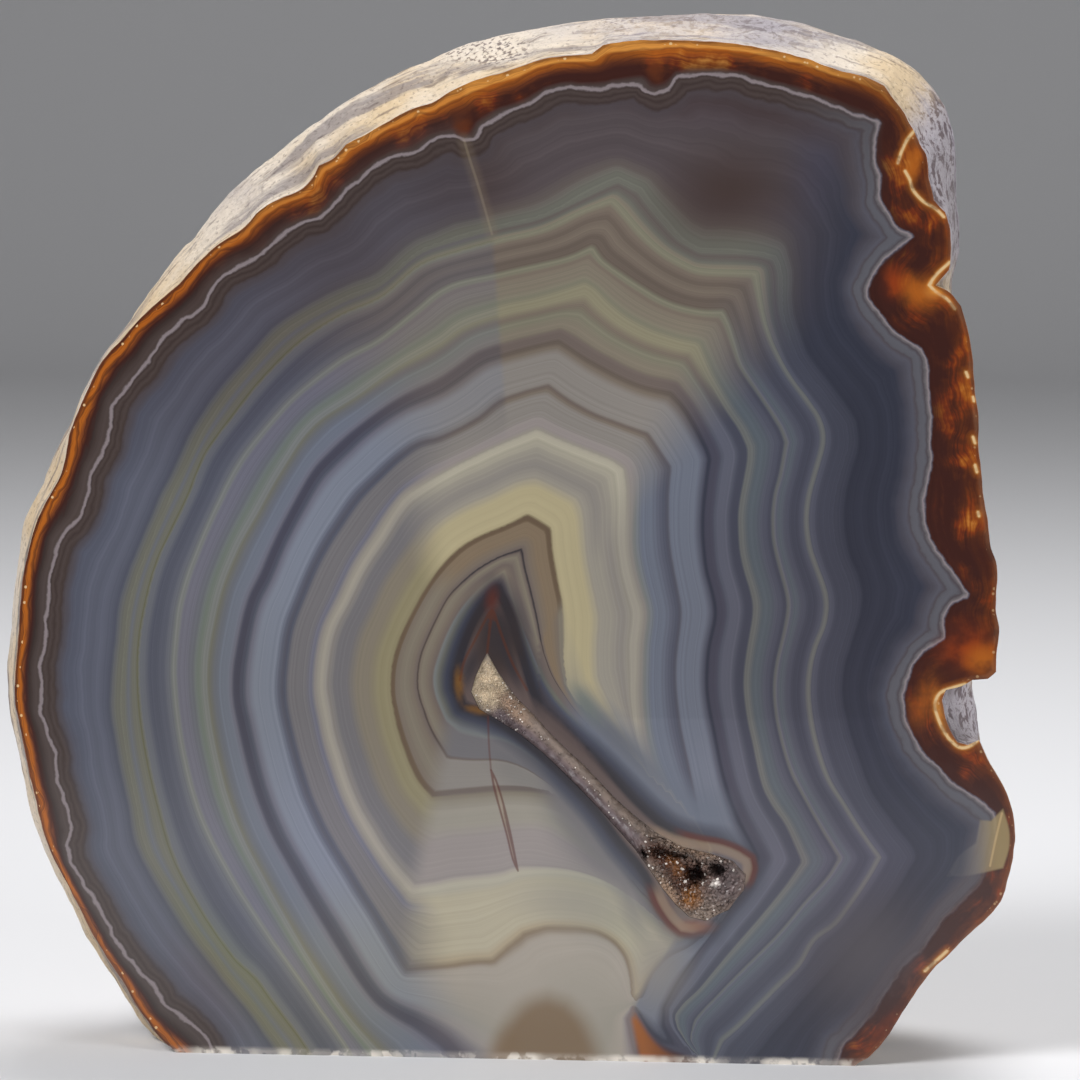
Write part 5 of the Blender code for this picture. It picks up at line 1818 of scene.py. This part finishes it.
def build_crust(crust):
    """Druse that lines the hollow: a thin crust set with small quartz points."""
    draw = random.Random(29)
    bm = bmesh.new()
    layer = bm.verts.layers.float_color.new("druse")
    under = hollow_rows(HOLLOW_STEPS, HOLLOW_ACROSS, CRUST_GAP, CRUST_GAP, CRUST_GAP)
    _, under_mouth = add_hollow(bm, under, CRUST_GAP, CRUST_GAP)
    over, over_mouth = add_hollow(bm, druse_rows(), CRUST_GAP + 0.03 * MM, CRUST_GAP)
    for number, vert in enumerate(under_mouth):
        after = (number + 1) % len(under_mouth)
        bm.faces.new((vert, under_mouth[after], over_mouth[after], over_mouth[number]))
    bmesh.ops.recalc_face_normals(bm, faces=bm.faces[:])
    plain = bm.verts[:]
    seats = []
    for number, quad in enumerate(over):
        middle = quad.calc_center_median()
        offset = abs(math.cos(math.pi * (number % HOLLOW_ACROSS + 0.5) / HOLLOW_ACROSS))
        seats.append((middle, quad.normal.copy(), [vert.co.copy() for vert in quad.verts],
                      offset, quad.calc_area()))
    spots = to_picture(np.array([(seat[0].x, 0.0, seat[0].z) for seat in seats]))
    tip = ease((530.0 - spots[:, 0]) / 30.0)
    head = ease((spots[:, 0] - 635.0) / 25.0)
    smooth = 1.0 - 0.85 * ease((spots[:, 0] - 712.0) / 14.0)
    centre = np.array([0.5 if seat[3] < 0.12 else 0.01 for seat in seats])
    weights = np.array([seat[4] for seat in seats]) * np.maximum(
        np.maximum(tip * 3.0, head * smooth), centre)
    picks = draw.choices(range(len(seats)), weights=weights, k=crust.crystal_count)
    base = crust_colours(spots, crust)
    for pick in picks:
        _, normal, corners, _, _ = seats[pick]
        one, two = draw.random(), draw.random()
        foot = corners[0].lerp(corners[1], one).lerp(corners[3].lerp(corners[2], one), two)
        lean = Vector((draw.gauss(0, 1), draw.gauss(0, 1), draw.gauss(0, 1))) * 0.35
        axis = (normal + lean).normalized()
        width = crust.crystal_size * draw.uniform(0.35, 0.8) * (1.0 + 0.9 * head[pick])
        height = min(width * draw.uniform(0.5, 0.95), foot.y * 0.75)
        width = min(width, height * 1.8)
        # Painted glints: some shallow crystals away from the tip and the wide end are drawn towards
        # the pale sparkle colour
        glinting = draw.random() < 0.3 - 0.28 * max(head[pick], tip[pick])
        colour = Vector(base[pick]) * draw.uniform(0.9, 1.1)
        if glinting and foot.y < 4 * MM:
            colour = colour.lerp(Vector(crust.sparkle), 0.7)
        for vert in add_point(bm, foot, axis, width, height, draw):
            vert[layer] = (*colour, 1.0)
    places = np.array([(vert.co.x, 0.0, vert.co.z) for vert in plain])
    for vert, colour in zip(plain, crust_colours(to_picture(places), crust)):
        vert[layer] = (*colour, 1.0)
    bmesh.ops.triangulate(bm, faces=[face for face in bm.faces if len(face.verts) > 3])
    mesh = bpy.data.meshes.new("quartz_druse")
    bm.to_mesh(mesh)
    bm.free()
    return mesh


def crust_colours(picture, crust):
    """Colour of the druse at each picture point, with painted shade on the lower side of the groove
    and towards the mouth of the hollow.
    """
    middle = np.interp(picture[:, 0], [(a[0] + b[0]) / 2 for a, b, _ in HOLLOW_PAIRS],
                       [(a[1] + b[1]) / 2 for a, b, _ in HOLLOW_PAIRS])
    head = ease((picture[:, 0] - 632.0) / 24.0)
    # Painted shade: the lower side of the groove is drawn towards dusk, while the upper side and the
    # wide end stay taupe
    upper = np.maximum(ease((middle - picture[:, 1]) / 12.0 + 0.6), head)[:, None]
    colour = (np.array(tuple(crust.dusk)) * (1.0 - upper)
              + np.array(tuple(crust.taupe)) * upper)
    spots = spot_colours(picture, DRUSE_SPOTS, crust)
    colour = colour * (1.0 - spots[:, 3:]) + spots[:, :3] * spots[:, 3:]
    # Painted shade: the druse darkens towards the mouth of the hollow, to 62 per cent at the edge,
    # but not at the wide end
    mouth = ([HOLLOW_TIP] + [pair[1] for pair in HOLLOW_PAIRS] + [HOLLOW_END]
             + [pair[0] for pair in reversed(HOLLOW_PAIRS)])
    edge = ease(depth_within(mouth, picture) / 5.0)
    return colour * np.maximum(0.62 + 0.38 * edge, head)[:, None]


def area_light(name, place, aim, size, power):
    """Soft rectangular light aimed at a place."""
    lamp = bpy.data.lights.new(name, "AREA")
    lamp.shape = "RECTANGLE"
    lamp.size, lamp.size_y = size
    lamp.energy = power
    thing = new_object(name, lamp)
    thing.location = place
    thing.rotation_euler = (Vector(aim) - Vector(place)).to_track_quat("-Z", "Y").to_euler()
    return thing


def backdrop_mesh(stage):
    """Pale floor that sweeps up into a wall behind the stone."""
    front, bend, radius, top, half = -0.32, 1.6, 0.5, 3.0, 2.5
    path = [(front, 0.0)]
    steps = 16
    for step in range(steps + 1):
        turn = math.pi / 2 * step / steps
        path.append((bend + radius * math.sin(turn), radius * (1.0 - math.cos(turn))))
    path.append((bend + radius, top))
    verts = [(side, place[0], place[1]) for place in path for side in (-half, half)]
    faces = [(n * 2, n * 2 + 1, n * 2 + 3, n * 2 + 2) for n in range(len(path) - 1)]
    mesh = bpy.data.meshes.new("backdrop")
    mesh.from_pydata(verts, [], faces)
    mesh.shade_smooth()
    material, nodes, shader = new_material("Pale backdrop")
    shader.inputs["Base Color"].default_value = opaque(stage.floor)
    shader.inputs["Roughness"].default_value = 0.7
    mesh.materials.append(material)
    return mesh


class GEODE_OT_stone(Operator):
    """Build the agate stone with its polished face, rough skin and sawn base"""
    bl_idname = "geode.stone"
    bl_label = "Agate stone"

    def execute(self, context):
        scene = context.scene
        settings, colours, skin = scene.geode_stone, scene.geode_colours, scene.geode_skin
        laminae, grain = laminae_group(), grain_group()
        mesh = build_stone(settings)
        paint_stone(mesh, colours)
        kinds = np.empty(len(mesh.polygons), dtype=int)
        mesh.polygons.foreach_get("material_index", kinds)
        shares = np.column_stack([read_values(mesh, name)
                                  for name in ("round_share", "back_share")])
        lay_out_map(mesh, kinds, shares)
        settle(mesh)
        mesh.shade_smooth()
        mesh.set_sharp_from_angle(angle=math.radians(50))
        mesh.materials.append(polished_agate(settings, colours, laminae))
        mesh.materials.append(rough_skin(skin, grain))
        mesh.materials.append(sawn_stone(skin, colours, grain))
        stone = new_object("agate_nodule", mesh)
        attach(stone, "root")
        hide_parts("agate_stone")
        return {"FINISHED"}


class GEODE_OT_crust(Operator):
    """Build the quartz druse that lines the hollow"""
    bl_idname = "geode.crust"
    bl_label = "Quartz druse"

    def execute(self, context):
        crust = context.scene.geode_crust
        mesh = build_crust(crust)
        settle(mesh)
        mesh.materials.append(druse_quartz(bpy.data.node_groups["Stone grain"]))
        druse = new_object("quartz_druse", mesh)
        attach(druse, "root")
        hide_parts("crystal_crust")
        return {"FINISHED"}


class GEODE_OT_stage(Operator):
    """Set the pale floor, the soft studio lights and the camera"""
    bl_idname = "geode.stage"
    bl_label = "Stage"

    def execute(self, context):
        scene = context.scene
        stage = scene.geode_stage
        scene.view_settings.view_transform = "Standard"
        world = bpy.data.worlds.new("Studio")
        scene.world = world
        world.use_nodes = True
        back = world.node_tree.nodes["Background"]
        back.inputs["Color"].default_value = (1.0, 1.0, 1.0, 1.0)
        back.inputs["Strength"].default_value = 0.12 * stage.light
        new_object("backdrop", backdrop_mesh(stage))
        aim = (0.0, 0.0, 75 * MM)
        area_light("key_light", (-0.55, -0.75, 0.85), aim, (0.5, 0.5), 12.5 * stage.light)
        area_light("fill_light", (0.85, -0.7, 0.45), aim, (0.5, 0.6), 5.5 * stage.light)
        area_light("top_light", (0.1, 0.35, 0.95), aim, (0.6, 0.4), 7.0 * stage.light)
        eye, backward, right, up = view_axes()
        shift = Vector((MIDDLE_ASIDE, FACE_PLANE, 0.0))
        lens = bpy.data.cameras.new("camera")
        lens.sensor_fit = "HORIZONTAL"
        lens.sensor_width = 36.0
        lens.lens = lens.sensor_width * FOCAL_PIXELS / PICTURE_SIZE
        camera = new_object("camera", lens)
        camera.location = eye + shift
        camera.rotation_euler = (-backward).to_track_quat("-Z", "Y").to_euler()
        scene.camera = camera
        return {"FINISHED"}


class GEODE_PT_panel(Panel):
    """Steps of the geode in the sidebar"""
    bl_label = "Agate geode half"
    bl_space_type = "VIEW_3D"
    bl_region_type = "UI"
    bl_category = "Geode"

    def draw(self, context):
        for operator in (GEODE_OT_stone, GEODE_OT_crust, GEODE_OT_stage):
            self.layout.operator(operator.bl_idname)
        for group in (context.scene.geode_stone, context.scene.geode_crust,
                      context.scene.geode_stage):
            box = self.layout.box()
            for name in group.bl_rna.properties.keys():
                if name not in ("rna_type", "name"):
                    box.prop(group, name)


CLASSES = (AgateColours, StoneSettings, CrustSettings, SkinColours, StageSettings,
           GEODE_OT_stone, GEODE_OT_crust, GEODE_OT_stage, GEODE_PT_panel)


def register():
    """Add the classes and their settings to Blender."""
    for item in CLASSES:
        bpy.utils.register_class(item)
    bpy.types.Scene.geode_colours = PointerProperty(type=AgateColours)
    bpy.types.Scene.geode_stone = PointerProperty(type=StoneSettings)
    bpy.types.Scene.geode_crust = PointerProperty(type=CrustSettings)
    bpy.types.Scene.geode_skin = PointerProperty(type=SkinColours)
    bpy.types.Scene.geode_stage = PointerProperty(type=StageSettings)


def unregister():
    """Take the classes and their settings away again."""
    for name in ("geode_colours", "geode_stone", "geode_crust", "geode_skin", "geode_stage"):
        delattr(bpy.types.Scene, name)
    for item in reversed(CLASSES):
        bpy.utils.unregister_class(item)


def main():
    """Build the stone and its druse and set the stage."""
    register()
    bpy.ops.geode.stone()
    bpy.ops.geode.crust()
    bpy.ops.geode.stage()


if __name__ == "__main__":
    main()
